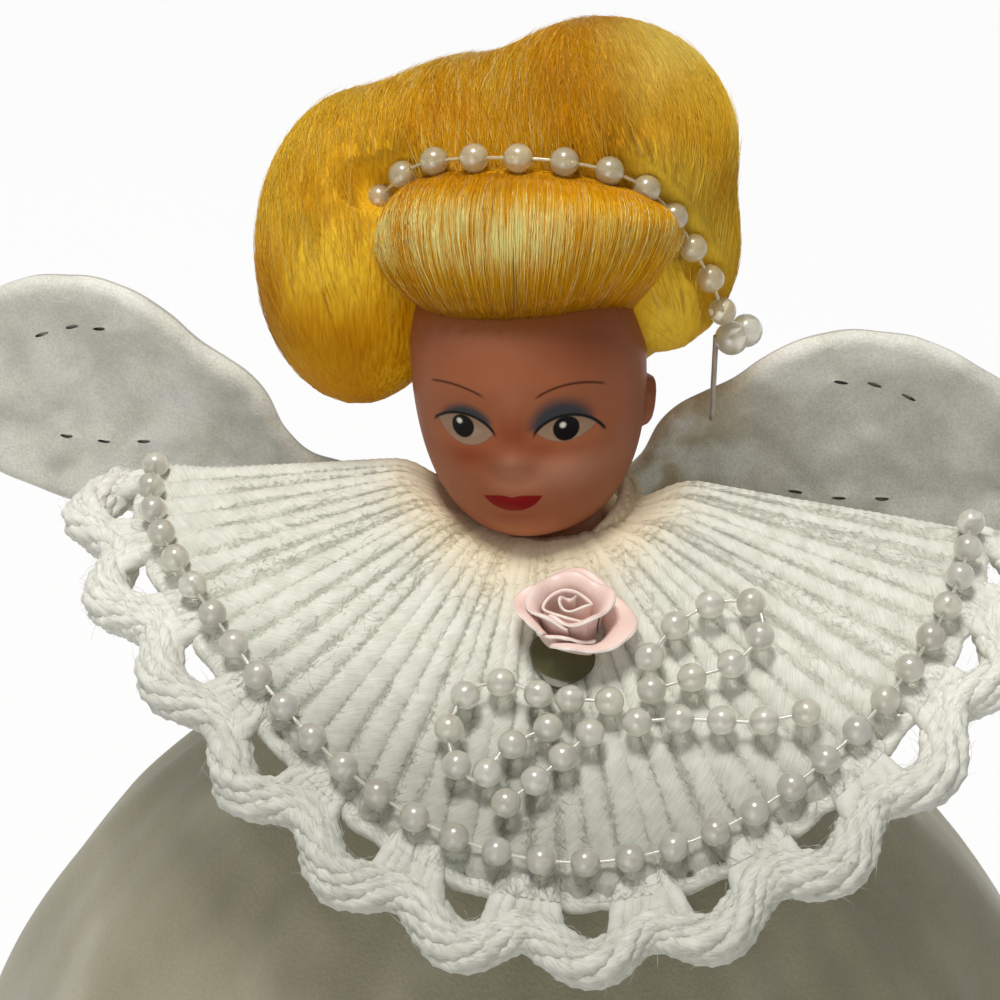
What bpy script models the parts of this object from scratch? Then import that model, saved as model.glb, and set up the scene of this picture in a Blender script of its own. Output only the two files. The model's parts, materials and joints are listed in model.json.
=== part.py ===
"""Angel tree topper: a card cone with a wooden neck post, a gathered skirt, a half-round yarn cape
trimmed with pearls, a pair of lace wings and a doll's head with piled hair.

Metres, +Z up, the angel faces -Y, the cone stands on z = 0 around the origin.
"""
import math

import bmesh
import bpy
from mathutils import Matrix, Vector

# Driving dimensions
PART_NAME = "angel_tree_topper"
CLEARANCE = 0.0003
NECK_Z = 0.130
TURNED_STEPS = 48
TUBE_SIDES = 6

# Card cone and wooden neck post; a drop is measured down from the neck
CONE_BASE_RADIUS = 0.058
CONE_TOP_RADIUS = 0.0085
CONE_WALL = 0.0012
CONE_TOP_DROP = 0.0129
POST_RADIUS = 0.0045
POST_RISE = 0.012
POST_COLLAR_HEIGHT = 0.002
POST_PLUG_LENGTH = 0.020

# Skirt: mean radius of the cloth at each drop, at the front and at the back
SKIRT_THICKNESS = 0.0010
SKIRT_TOP_DROP = 0.0108
SKIRT_HEM_LIFT = 0.0015
SKIRT_TOP_RADIUS = 0.0105
SKIRT_BAND_DROP = 0.0158
SKIRT_FLARE = (
    (0.022, 0.0165, 0.0139),
    (0.031, 0.0290, 0.0205),
    (0.041, 0.0395, 0.0285),
    (0.052, 0.0490, 0.0380),
    (0.072, 0.0610, 0.0540),
    (0.096, 0.0700, 0.0670),
)
SKIRT_HEM_RADIUS = 0.079
SKIRT_FOLDS = 12
SKIRT_FOLD_DEPTH = 0.0045
SKIRT_COLUMNS_PER_FOLD = 5
SKIRT_FOLD_CURVE = 1.2
SKIRT_BACK_CURVE = 1.5
BAND_HEIGHT = 0.0036
BAND_THICKNESS = 0.0010

# Cape: a half-round fan of yarn ribs around a point a little right of the neck
CAPE_CENTRE_X = 0.0043
CAPE_INNER_RADIUS = 0.0085
CAPE_RADIUS = 0.0398
CAPE_HALF_ANGLE = math.radians(92)
CAPE_THICKNESS = 0.0026
CAPE_FRONT_FALL = math.radians(28.3)
CAPE_SIDE_FALL = math.radians(8)
CAPE_FALL_TURN = math.radians(5)
CAPE_FALL_CURVE = 2.4
CAPE_LEFT_STRETCH = 0.13
CAPE_STRETCH_CURVE = 9.0
CAPE_NECK_DROP = 0.0047
CAPE_NECK_BLEND = 0.006
CAPE_RIBS = 42
CAPE_RIB_DEPTH = 0.0004
CAPE_CREST_SHARE = 0.62
CAPE_ROWS = 4
NECK_ROLL_RADIUS = 0.0017

# Crocheted edging in shallow arches round the cape
EDGING_RADIUS = 0.0019
EDGING_ARCHES = 12
EDGING_ARCH_DEPTH = 0.0025
EDGING_POINTS_PER_ARCH = 6

# Pearl strands
PEARL_RADIUS = 0.0014
PEARL_PITCH = 0.0041
BOW_PITCH = 0.0038
THREAD_RADIUS = 0.00045
PEARL_END_SHARE = 0.95
PEARL_FLAT_SHARE = 0.45
PEARL_SEGMENTS = 10
PEARL_RINGS = 6
CAPE_STRAND_RADIUS = 0.0386
CAPE_STRAND_HALF_ANGLE = math.radians(89)
CAPE_STRAND_POINTS = 24

# Routes of the pearl bow over the cape, seen from above
BOW_ROUTES = {
    "bow_left_loop": (
        (0.0044, -0.0278), (0.0028, -0.0287), (0.0004, -0.0306), (-0.0013, -0.0334),
        (-0.0036, -0.0324), (-0.0047, -0.0293), (-0.0033, -0.0258), (-0.0002, -0.0244),
        (0.0031, -0.0249)),
    "bow_right_loop": (
        (0.0136, -0.0237), (0.0172, -0.0226), (0.0211, -0.0211), (0.0234, -0.0183),
        (0.0224, -0.0157), (0.0186, -0.0159), (0.0153, -0.0179), (0.0131, -0.0208)),
    "bow_left_tail": (
        (0.0083, -0.0278), (0.0060, -0.0303), (0.0037, -0.0327), (0.0014, -0.0349)),
    "bow_right_tail": (
        (0.0126, -0.0266), (0.0158, -0.0262), (0.0200, -0.0262), (0.0240, -0.0262),
        (0.0281, -0.0253)),
    "bow_knot": ((0.0061, -0.0250), (0.0098, -0.0249)),
}

# Ribbon rose and its leaf, on the cape above the bow
ROSE_X = 0.0058
ROSE_Y = -0.0150
ROSE_INNER_RADIUS = 0.0017
ROSE_TURN_PITCH = 0.0015
ROSE_TURNS = 3.0
ROSE_RIBBON_THICKNESS = 0.0005
ROSE_INNER_HEIGHT = 0.0046
ROSE_OUTER_HEIGHT = 0.0026
ROSE_POINTS_PER_TURN = 16
ROSE_HEART_RADIUS = 0.0010
ROSE_HEART_TOP_RADIUS = 0.0008
ROSE_HEART_SIDES = 12
ROSE_LIFT = 0.0016
ROSE_SEAT = 0.004
LEAF_START = 0.0030
LEAF_LENGTH = 0.0060
LEAF_WIDTH = 0.0052
LEAF_THICKNESS = 0.0004
LEAF_TURN = math.radians(16)
LEAF_STEM_SHARE = 0.1
LEAF_TIP_SHARE = 0.98
LEAF_ROUNDNESS = 0.8
LEAF_COLUMNS = 4
LEAF_ROWS = 6

# Wings: root offset from the pair's centre, and the outline as reach from the root and rise
WING_PAIR_X = -0.0105
WING_BAR_LENGTH = 0.012
WING_BAR_THICKNESS = 0.0015
WING_BAR_TOP_DROP = 0.0108
WING_BAR_HEIGHT = 0.0064
WING_THICKNESS = 0.0012
WING_EDGE_RADIUS = 0.0010
WING_ROOT_GAP = 0.0028
WING_SWEEP = math.radians(10)
WING_OUTLINE = (
    (0.000, -0.0128), (0.0080, -0.0120), (0.0118, -0.0088), (0.0140, -0.0045), (0.0178, -0.0016),
    (0.0228, 0.0016), (0.0280, 0.0048), (0.0330, 0.0056), (0.040, 0.0042), (0.048, -0.0010),
    (0.053, -0.0080), (0.051, -0.0150), (0.042, -0.0196), (0.030, -0.0206), (0.016, -0.0186),
    (0.000, -0.0166),
)
WING_OUTLINE_STEPS = 3

# Head: both of its frames have x sideways, y back and z up, and lean back by the same tilt
HEAD_TILT = math.radians(15)
HAIR_SIDE = -0.0013
HAIR_TURN = math.radians(-3)
SKULL_SIDE = -0.0004
SKULL_LEAN = math.radians(-6)
SKULL_HALF = (0.0116, 0.0129, 0.0155)
SKULL_CENTRE_Z = 0.0117
SKULL_LOW = 0.0164
SKULL_WALL = 0.0014
SKULL_SEGMENTS = 28
SKULL_RINGS = 18
JAW_TAPER = 0.30
JAW_FULLNESS = 4.2
NAPE_TAPER = 0.20
NOSE_SIDE = -0.0003
NOSE_HEIGHT = 0.0050
NOSE_DEPTH = 0.0016
NOSE_SPREAD = 0.0018
NECK_TUBE_RADIUS = 0.0064
NECK_TUBE_TOP = 0.006

# Hair rolls in the hair's frame: centre and half sizes
HAIR_ROLLS = {
    "hair_top": ((0.0010, 0.0050, 0.0310), (0.0170, 0.0130, 0.0142)),
    "hair_left": ((-0.0191, 0.0040, 0.0198), (0.0105, 0.0106, 0.0164)),
    "hair_right": ((0.0120, 0.0060, 0.0210), (0.0065, 0.0085, 0.0090)),
    "hair_back": ((-0.0010, 0.0130, 0.0190), (0.0160, 0.0080, 0.0140)),
    "hair_fringe": ((-0.0005, -0.0060, 0.0252), (0.0155, 0.0070, 0.0086)),
}
HAIR_SEGMENTS = 20
HAIR_RINGS = 12

# Pearl headband over the hair, from the left side of the head to the right, in the hair's frame
HEADBAND_ROUTE = (
    (-0.0155, -0.0026, 0.0268), (-0.0118, -0.0052, 0.0306), (-0.0082, -0.0068, 0.0320),
    (-0.0045, -0.0078, 0.0327), (0.0000, -0.0082, 0.0331), (0.0042, -0.0077, 0.0329),
    (0.0080, -0.0064, 0.0320), (0.0112, -0.0042, 0.0299), (0.0136, -0.0022, 0.0269),
    (0.0153, -0.0002, 0.0236), (0.0168, 0.0018, 0.0205), (0.0179, 0.0036, 0.0172),
)
HEADBAND_PITCH = 0.0042
END_PEARL_RADIUS = 0.0017
END_PEARL_ROUTE = ((0.0189, 0.0052, 0.0141), (0.0200, 0.0086, 0.0141))
TAIL_WIRE_RADIUS = 0.00035
TAIL_WIRE_X = 0.0165
TAIL_WIRE_Y = 0.0072
TAIL_WIRE_TOP = 0.0107
TAIL_WIRE_END = 0.0030

# Pearls sewn on the skirt's fold crests
SKIRT_PEARL_RADIUS = 0.0017
SKIRT_PEARL_EVERY = 2

PARTS = bpy.data.collections.new(PART_NAME)
CUTTERS = bpy.data.collections.new("cutters")


def clear_scene():
    for item in list(bpy.data.objects):
        bpy.data.objects.remove(item, do_unlink=True)
    for collection in (PARTS, CUTTERS):
        bpy.context.scene.collection.children.link(collection)


def finish(name, colour, roughness, metallic=0.0):
    """A plain Principled material for one kind of piece."""
    material = bpy.data.materials.new(name)
    material.use_nodes = True
    shader = material.node_tree.nodes["Principled BSDF"]
    shader.inputs["Base Color"].default_value = (*colour, 1.0)
    shader.inputs["Roughness"].default_value = roughness
    shader.inputs["Metallic"].default_value = metallic
    return material


def finishes():
    return {
        "card": finish("brown_card", (0.24, 0.19, 0.13), 0.9),
        "wood": finish("bare_wood", (0.55, 0.40, 0.24), 0.7),
        "cloth": finish("sheer_cloth", (0.36, 0.33, 0.27), 0.8),
        "yarn": finish("white_yarn", (0.86, 0.85, 0.80), 0.95),
        "pearl": finish("pearl_plastic", (0.90, 0.88, 0.83), 0.25),
        "ribbon": finish("pink_ribbon", (0.80, 0.52, 0.52), 0.45),
        "leaf": finish("green_ribbon", (0.04, 0.13, 0.07), 0.5),
        "lace": finish("stiff_lace", (0.62, 0.62, 0.57), 0.5),
        "vinyl": finish("brown_vinyl", (0.34, 0.13, 0.07), 0.4),
        "hair": finish("golden_hair", (0.72, 0.40, 0.06), 0.5),
        "wire": finish("dull_wire", (0.25, 0.20, 0.16), 0.4, 0.8),
    }


def add_object(name, data, material, parent=None):
    item = bpy.data.objects.new(name, data)
    data.materials.append(material)
    PARTS.objects.link(item)
    if parent is not None:
        item.parent = parent
        item.matrix_parent_inverse = Matrix.Translation(-parent.location)
    return item


def add_cutter(name, mesh):
    item = bpy.data.objects.new(name, mesh)
    CUTTERS.objects.link(item)
    item.hide_render = True
    item.display_type = "WIRE"
    return item


def joint_empty(name, location):
    """An empty on a joint's axis, which the moving pieces are parented to."""
    empty = bpy.data.objects.new(name, None)
    empty.location = location
    PARTS.objects.link(empty)
    return empty


def boolean(item, cutter, operation="DIFFERENCE"):
    modifier = item.modifiers.new(cutter.name, "BOOLEAN")
    modifier.operation = operation
    modifier.object = cutter


def mesh_of(bm, name, smooth=True):
    mesh = bpy.data.meshes.new(name)
    bm.to_mesh(mesh)
    bm.free()
    if smooth:
        mesh.shade_smooth()
    return mesh


def turned(name, profile, material, closed=False):
    """A profile of (radius, height) pairs, top to bottom, turned round the Z axis."""
    bm = bmesh.new()
    points = [bm.verts.new((radius, 0.0, height)) for radius, height in profile]
    for first, second in zip(points, points[1:]):
        bm.edges.new((first, second))
    if closed:
        bm.edges.new((points[-1], points[0]))
    mesh = mesh_of(bm, name, smooth=False)
    item = add_object(name, mesh, material)
    screw = item.modifiers.new("turn", "SCREW")
    screw.steps = TURNED_STEPS
    screw.render_steps = TURNED_STEPS
    screw.use_merge_vertices = True
    screw.merge_threshold = 0.00001
    screw.use_smooth_shade = False
    return item


def shaped_grid(name, columns, rows, place, thickness, material, parent=None, joined=False):
    """A sheet whose point at shares (across, down) sits where place says, with a thickness."""
    bm = bmesh.new()
    bmesh.ops.create_grid(bm, x_segments=columns, y_segments=rows, size=0.5)
    for vert in bm.verts:
        vert.co = place(vert.co.x + 0.5, vert.co.y + 0.5)
    if joined:
        bmesh.ops.remove_doubles(bm, verts=bm.verts, dist=0.00001)
    item = add_object(name, mesh_of(bm, name), material, parent)
    wall = item.modifiers.new("thickness", "SOLIDIFY")
    wall.thickness = thickness
    wall.offset = 0.0
    return item


def smooth_path(route, steps=8, closed=False):
    """Points of a smooth curve through a route's own points."""
    points = [Vector(point) for point in route]
    last = len(points) - 1
    path = []
    for index in range(len(points) if closed else last):
        if closed:
            four = [points[(index + shift) % len(points)] for shift in (-1, 0, 1, 2)]
        else:
            four = [points[min(max(index + shift, 0), last)] for shift in (-1, 0, 1, 2)]
        before, start, end, after = four
        for step in range(steps):
            t = step / steps
            path.append(0.5 * (2 * start + (end - before) * t
                               + (2 * before - 5 * start + 4 * end - after) * t ** 2
                               + (3 * start - before - 3 * end + after) * t ** 3))
    if not closed:
        path.append(points[-1])
    return path


def along(path, distance):
    """The point at a distance along a path; past its ends the path runs on straight."""
    for start, end in zip(path, path[1:]):
        length = (end - start).length
        if distance <= length or end is path[-1]:
            return start + (end - start) * (distance / length)
        distance -= length
    return path[-1]


def run_on(path, distance):
    """The path with both ends carried straight on by a distance."""
    first = path[0] + (path[0] - path[1]).normalized() * distance
    last = path[-1] + (path[-1] - path[-2]).normalized() * distance
    return [first] + path + [last]


def path_length(path):
    return sum((end - start).length for start, end in zip(path, path[1:]))


def tube(name, points, radii, material, parent=None, closed=False):
    """A six-sided tube through points, with a radius at each."""
    curve = bpy.data.curves.new(name, "CURVE")
    curve.dimensions = "3D"
    curve.bevel_depth = max(radii)
    curve.bevel_resolution = TUBE_SIDES // 2 - 2
    curve.use_fill_caps = not closed
    spline = curve.splines.new("POLY")
    spline.points.add(len(points) - 1)
    for knot, point, radius in zip(spline.points, points, radii):
        knot.co = (*point, 1.0)
        knot.radius = radius / curve.bevel_depth
    spline.use_cyclic_u = closed
    return add_object(name, curve, material, parent)


def pearl_strand(name, route, pitch, radius, material, parent=None):
    """Pearls moulded on one thread: each is two wide rings between two thread-sized ones."""
    path = smooth_path(route)
    length = path_length(path)
    count = max(2, round(length / pitch) + 1)
    end = PEARL_END_SHARE * radius
    flat = PEARL_FLAT_SHARE * radius
    rings = ((-end, THREAD_RADIUS), (-flat, radius), (flat, radius), (end, THREAD_RADIUS))
    points = []
    radii = []
    for index in range(count):
        centre = length * index / (count - 1)
        for offset, ring_radius in rings:
            points.append(along(path, centre + offset))
            radii.append(ring_radius)
    return tube(name, points, radii, material, parent)


def ellipsoid_mesh(name, frame, centre, half, segments, rings):
    bm = bmesh.new()
    bmesh.ops.create_uvsphere(bm, u_segments=segments, v_segments=rings, radius=1.0)
    sizes = Matrix.Diagonal((*half, 1.0))
    bmesh.ops.transform(bm, matrix=frame @ Matrix.Translation(centre) @ sizes, verts=bm.verts)
    return mesh_of(bm, name)


def meshed(curve_object):
    """The mesh of a curve object with its caps welded; the curve is removed."""
    graph = bpy.context.evaluated_depsgraph_get()
    mesh = bpy.data.meshes.new_from_object(curve_object.evaluated_get(graph))
    bm = bmesh.new()
    bm.from_mesh(mesh)
    bmesh.ops.remove_doubles(bm, verts=bm.verts, dist=0.00001)
    bmesh.ops.recalc_face_normals(bm, faces=bm.faces)
    bm.to_mesh(mesh)
    bm.free()
    bpy.data.objects.remove(curve_object, do_unlink=True)
    return mesh


def cone_radius(drop):
    share = (drop - CONE_TOP_DROP) / (NECK_Z - CONE_TOP_DROP)
    return CONE_TOP_RADIUS + (CONE_BASE_RADIUS - CONE_TOP_RADIUS) * share


def collar_top_drop():
    return CONE_TOP_DROP - CLEARANCE - POST_COLLAR_HEIGHT


def make_cone(looks):
    top = NECK_Z - CONE_TOP_DROP
    turned("cone_core", (
        (CONE_TOP_RADIUS, top), (CONE_BASE_RADIUS, 0.0),
        (CONE_BASE_RADIUS - CONE_WALL, 0.0), (CONE_TOP_RADIUS - CONE_WALL, top),
    ), looks["card"], closed=True)


def make_post(looks):
    """A turned post: its plug fills the cone's tip, its collar sits on the cone's edge."""
    plug_end = CONE_TOP_DROP + POST_PLUG_LENGTH
    seat = CONE_TOP_DROP - CLEARANCE
    play = CONE_WALL + CLEARANCE
    turned("neck_post", (
        (0.0, NECK_Z + POST_RISE), (POST_RADIUS, NECK_Z + POST_RISE),
        (POST_RADIUS, NECK_Z - collar_top_drop()), (CONE_TOP_RADIUS, NECK_Z - collar_top_drop()),
        (CONE_TOP_RADIUS, NECK_Z - seat), (cone_radius(seat) - play, NECK_Z - seat),
        (cone_radius(plug_end) - play, NECK_Z - plug_end), (0.0, NECK_Z - plug_end),
    ), looks["wood"])


def skirt_rows():
    """Drop, front radius and back radius of each row of the skirt, from the neck to the hem."""
    hem = (NECK_Z - SKIRT_HEM_LIFT, SKIRT_HEM_RADIUS, SKIRT_HEM_RADIUS)
    return ((SKIRT_TOP_DROP, SKIRT_TOP_RADIUS, SKIRT_TOP_RADIUS),
            (SKIRT_BAND_DROP, SKIRT_TOP_RADIUS, SKIRT_TOP_RADIUS)) + SKIRT_FLARE + (hem,)


def skirt_point(angle, row):
    """Middle of the cloth at an angle from the front, folds included."""
    drop, front, back = skirt_rows()[row]
    backness = max(0.0, -math.cos(angle)) ** SKIRT_BACK_CURVE
    hem_drop = NECK_Z - SKIRT_HEM_LIFT
    grown = max(0.0, (drop - SKIRT_BAND_DROP) / (hem_drop - SKIRT_BAND_DROP))
    depth = SKIRT_FOLD_DEPTH * grown ** SKIRT_FOLD_CURVE
    fold = depth * (math.cos(SKIRT_FOLDS * angle) - 1.0) / 2.0
    radius = front + (back - front) * backness + fold
    return Vector((radius * math.sin(angle), -radius * math.cos(angle), NECK_Z - drop))


def make_skirt(looks):
    rows = len(skirt_rows()) - 1
    columns = SKIRT_FOLDS * SKIRT_COLUMNS_PER_FOLD

    def place(across, down):
        return skirt_point(2 * math.pi * across, round((1.0 - down) * rows))

    shaped_grid("skirt", columns, rows, place, SKIRT_THICKNESS, looks["cloth"], joined=True)


def band_outer_radius():
    return SKIRT_TOP_RADIUS + SKIRT_THICKNESS / 2 + CLEARANCE + BAND_THICKNESS


def make_skirt_band(looks):
    """A ribbon band that holds the skirt's gathers round the cone's tip."""
    outer = band_outer_radius()
    middle = NECK_Z - (SKIRT_TOP_DROP + SKIRT_BAND_DROP) / 2
    top = middle + BAND_HEIGHT / 2
    bottom = middle - BAND_HEIGHT / 2
    turned("skirt_band", (
        (outer, top), (outer, bottom), (outer - BAND_THICKNESS, bottom),
        (outer - BAND_THICKNESS, top),
    ), looks["cloth"], closed=True)


def skirt_surface_normal(angle, row):
    """Outward direction of the cloth on a fold crest, in the upright plane through the axis."""
    upper = skirt_point(angle, row - 1)
    lower = skirt_point(angle, row + 1)
    slope = lower - upper
    outward = Vector((math.sin(angle), -math.cos(angle), 0.0))
    return (outward * -slope.z + Vector((0.0, 0.0, slope.dot(outward)))).normalized()


def make_skirt_pearls(looks):
    """Single pearls on every second fold crest, high and low in turn."""
    low_row = len(skirt_rows()) - 2
    for number, fold in enumerate(range(0, SKIRT_FOLDS, SKIRT_PEARL_EVERY)):
        angle = 2 * math.pi * (fold + 1) / SKIRT_FOLDS
        row = low_row - number % 2
        lift = SKIRT_THICKNESS + CLEARANCE + SKIRT_PEARL_RADIUS
        centre = skirt_point(angle, row) + skirt_surface_normal(angle, row) * lift
        half = (SKIRT_PEARL_RADIUS,) * 3
        name = f"skirt_pearl_{number + 1}"
        mesh = ellipsoid_mesh(name, Matrix.Identity(4), centre, half, PEARL_SEGMENTS, PEARL_RINGS)
        add_object(name, mesh, looks["pearl"])


def cape_stretch(angle):
    """The cape reaches further out on its left than elsewhere."""
    return 1.0 + CAPE_LEFT_STRETCH * max(0.0, -math.sin(angle)) ** CAPE_STRETCH_CURVE


def cape_drop(radius, angle):
    """How far the middle of the cape lies below the neck; it dips to one level at the neck."""
    frontness = max(0.0, math.cos(angle - CAPE_FALL_TURN)) ** CAPE_FALL_CURVE
    side = math.tan(CAPE_SIDE_FALL)
    slope = side + (math.tan(CAPE_FRONT_FALL) - side) * frontness
    share = min(1.0, max(0.0, (radius - CAPE_INNER_RADIUS) / CAPE_NECK_BLEND))
    eased = share * share * (3.0 - 2.0 * share)
    return CAPE_NECK_DROP * (1.0 - eased) + radius * cape_stretch(angle) * slope * eased


def cape_point(radius, angle, lift=0.0):
    reach = radius * cape_stretch(angle)
    return Vector((CAPE_CENTRE_X * min(1.0, radius / CAPE_RADIUS) + reach * math.sin(angle),
                   -reach * math.cos(angle),
                   NECK_Z - cape_drop(radius, angle) + lift))


def cape_lift():
    """Height of the rib crests over the middle of the cape, measured upright on its slope."""
    return CAPE_THICKNESS * CAPE_CREST_SHARE + CAPE_RIB_DEPTH + CLEARANCE


def over_cape(x, y, lift):
    """The point over the cape at x, y, so far above its rib crests."""
    radius = math.hypot(x, y)
    radius = math.hypot(x - CAPE_CENTRE_X * min(1.0, radius / CAPE_RADIUS), y)
    angle = math.atan2(x - CAPE_CENTRE_X * min(1.0, radius / CAPE_RADIUS), -y)
    drop = cape_drop(radius / cape_stretch(angle), angle)
    return Vector((x, y, NECK_Z - drop + cape_lift() + lift))


def make_cape(looks):
    def place(across, down):
        angle = CAPE_HALF_ANGLE * (2.0 * across - 1.0)
        share = 1.0 - down
        radius = CAPE_INNER_RADIUS + (CAPE_RADIUS - CAPE_INNER_RADIUS) * share
        crest = 1.0 if round(across * 2 * CAPE_RIBS) % 2 else -1.0
        return cape_point(radius, angle, CAPE_RIB_DEPTH * share * crest)

    shaped_grid("cape", 2 * CAPE_RIBS, CAPE_ROWS, place, CAPE_THICKNESS, looks["yarn"])


def make_neck_roll(looks):
    """A roll of yarn round the neck, which the cape's ribs start from."""
    ring_radius = CAPE_INNER_RADIUS + NECK_ROLL_RADIUS / 2
    height = NECK_Z - CAPE_NECK_DROP - cape_lift() - NECK_ROLL_RADIUS
    points = []
    for index in range(TURNED_STEPS // 2):
        angle = 4 * math.pi * index / TURNED_STEPS
        points.append((ring_radius * math.cos(angle), ring_radius * math.sin(angle), height))
    tube("neck_roll", points, [NECK_ROLL_RADIUS] * len(points), looks["yarn"], closed=True)


def make_cape_edging(looks):
    """A thick crocheted cord that touches the cape between its arches."""
    count = EDGING_ARCHES * EDGING_POINTS_PER_ARCH
    points = []
    for index in range(count + 1):
        angle = CAPE_HALF_ANGLE * (2.0 * index / count - 1.0)
        arch = 0.5 - 0.5 * math.cos(2 * math.pi * index / EDGING_POINTS_PER_ARCH)
        radius = CAPE_RADIUS + EDGING_RADIUS + 2 * CLEARANCE + EDGING_ARCH_DEPTH * arch
        points.append(cape_point(radius, angle))
    tube("cape_edging", points, [EDGING_RADIUS] * len(points), looks["yarn"])


def make_cape_pearls(looks):
    lift = cape_lift() + PEARL_RADIUS
    route = []
    for index in range(CAPE_STRAND_POINTS + 1):
        angle = CAPE_STRAND_HALF_ANGLE * (2.0 * index / CAPE_STRAND_POINTS - 1.0)
        route.append(cape_point(CAPE_STRAND_RADIUS, angle, lift))
    pearl_strand("cape_pearls", route, PEARL_PITCH, PEARL_RADIUS, looks["pearl"])


def make_bow(looks):
    """Loops and tails of one pearl bow, lying over the cape and the tip of the rose's leaf."""
    lift = 2 * CLEARANCE + LEAF_THICKNESS + PEARL_RADIUS
    for name, plan in BOW_ROUTES.items():
        route = [over_cape(x, y, lift) for x, y in plan]
        pearl_strand(name, route, BOW_PITCH, PEARL_RADIUS, looks["pearl"])


def rose_frame():
    """A frame on the cape at the rose, with Z along the cape's outward direction."""
    centre = over_cape(ROSE_X, ROSE_Y, 0.0)
    right = over_cape(ROSE_X + ROSE_SEAT, ROSE_Y, 0.0)
    left = over_cape(ROSE_X - ROSE_SEAT, ROSE_Y, 0.0)
    across = right - left
    upper = over_cape(ROSE_X, ROSE_Y + ROSE_SEAT, 0.0)
    lower = over_cape(ROSE_X, ROSE_Y - ROSE_SEAT, 0.0)
    inward = upper - lower
    x_axis = across.normalized()
    z_axis = across.cross(inward).normalized()
    axes = Matrix((x_axis, z_axis.cross(x_axis), z_axis)).transposed().to_4x4()
    return Matrix.Translation(centre) @ axes


def make_rose(looks):
    """A ribbon rolled outwards round a rolled heart, on one leaf."""
    frame = rose_frame()

    def place(across, up):
        turn = 2 * math.pi * ROSE_TURNS * across
        radius = ROSE_INNER_RADIUS + ROSE_TURN_PITCH * ROSE_TURNS * across
        height = ROSE_INNER_HEIGHT + (ROSE_OUTER_HEIGHT - ROSE_INNER_HEIGHT) * across
        radius += ROSE_RIBBON_THICKNESS * up * across
        return frame @ Vector((radius * math.cos(turn), radius * math.sin(turn),
                               ROSE_LIFT + height * up))

    columns = round(ROSE_TURNS * ROSE_POINTS_PER_TURN)
    shaped_grid("rose_petals", columns, 2, place, ROSE_RIBBON_THICKNESS, looks["ribbon"])

    bm = bmesh.new()
    bmesh.ops.create_cone(bm, cap_ends=True, segments=ROSE_HEART_SIDES, radius1=ROSE_HEART_RADIUS,
                          radius2=ROSE_HEART_TOP_RADIUS, depth=ROSE_INNER_HEIGHT)
    rise = Matrix.Translation((0.0, 0.0, ROSE_LIFT + ROSE_INNER_HEIGHT / 2))
    bmesh.ops.transform(bm, matrix=frame @ rise, verts=bm.verts)
    add_object("rose_heart", mesh_of(bm, "rose_heart", smooth=False), looks["ribbon"])

    def place_leaf(across, down):
        share = LEAF_STEM_SHARE + (LEAF_TIP_SHARE - LEAF_STEM_SHARE) * down
        width = LEAF_WIDTH * math.sin(math.pi * share) ** LEAF_ROUNDNESS
        flat = Vector((width * (across - 0.5), -LEAF_START - LEAF_LENGTH * down, 0.0))
        flat = Matrix.Rotation(-LEAF_TURN, 3, "Z") @ flat
        lift = CLEARANCE + LEAF_THICKNESS / 2
        return over_cape(ROSE_X + flat.x, ROSE_Y + flat.y, lift)

    shaped_grid("rose_leaf", LEAF_COLUMNS, LEAF_ROWS, place_leaf, LEAF_THICKNESS, looks["leaf"])


def wing_bar_middle_y():
    return band_outer_radius() + CLEARANCE + WING_BAR_THICKNESS / 2


def make_wing_bar(looks):
    """A card strip glued to the band behind the neck, which the wings are sewn to."""
    bm = bmesh.new()
    bmesh.ops.create_cube(bm, size=1.0)
    middle_z = NECK_Z - WING_BAR_TOP_DROP - WING_BAR_HEIGHT / 2
    place = Matrix.Translation((WING_PAIR_X, wing_bar_middle_y(), middle_z))
    size = Matrix.Diagonal((WING_BAR_LENGTH, WING_BAR_THICKNESS, WING_BAR_HEIGHT, 1.0))
    bmesh.ops.transform(bm, matrix=place @ size, verts=bm.verts)
    add_object("wing_bar", mesh_of(bm, "wing_bar", smooth=False), looks["card"])


def wing_outline():
    route = [(WING_ROOT_GAP + reach, rise, 0.0) for reach, rise in WING_OUTLINE]
    return smooth_path(route, WING_OUTLINE_STEPS, closed=True)


def inset(outline, distance):
    """The outline drawn in by a distance; it runs clockwise, so inside is on its right."""
    drawn = []
    for index, point in enumerate(outline):
        along_edge = outline[(index + 1) % len(outline)] - outline[index - 1]
        inward = Vector((along_edge.y, -along_edge.x, 0.0)).normalized()
        drawn.append(point + inward * distance)
    return drawn


def make_wing(side, sign, looks):
    """A stiff lace panel inside a crocheted edge, swept back from its upright seam."""
    root = Vector((WING_PAIR_X + sign * WING_BAR_LENGTH / 2, wing_bar_middle_y(), NECK_Z))
    seam = joint_empty(f"{side}_wing_seam", root)
    upright = Matrix.Rotation(math.pi / 2, 4, "X")
    turn = Matrix.Rotation(sign * WING_SWEEP, 4, "Z")
    frame = Matrix.Translation(root) @ turn @ Matrix.Diagonal((sign, 1.0, 1.0, 1.0)) @ upright
    outline = wing_outline()
    edge = [frame @ point for point in outline]
    tube(f"{side}_wing_edge", edge, [WING_EDGE_RADIUS] * len(edge), looks["lace"], seam, True)

    bm = bmesh.new()
    panel = inset(outline, WING_EDGE_RADIUS + CLEARANCE)
    ring = [bm.verts.new(point - Vector((0.0, 0.0, WING_THICKNESS / 2))) for point in panel]
    face = bm.faces.new(ring)
    grown = bmesh.ops.extrude_face_region(bm, geom=[face])
    top = [part for part in grown["geom"] if isinstance(part, bmesh.types.BMVert)]
    bmesh.ops.translate(bm, verts=top, vec=(0.0, 0.0, WING_THICKNESS))
    bmesh.ops.transform(bm, matrix=frame, verts=bm.verts)
    bmesh.ops.recalc_face_normals(bm, faces=bm.faces)
    name = f"{side}_wing"
    add_object(name, mesh_of(bm, name, smooth=False), looks["lace"], seam)


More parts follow.
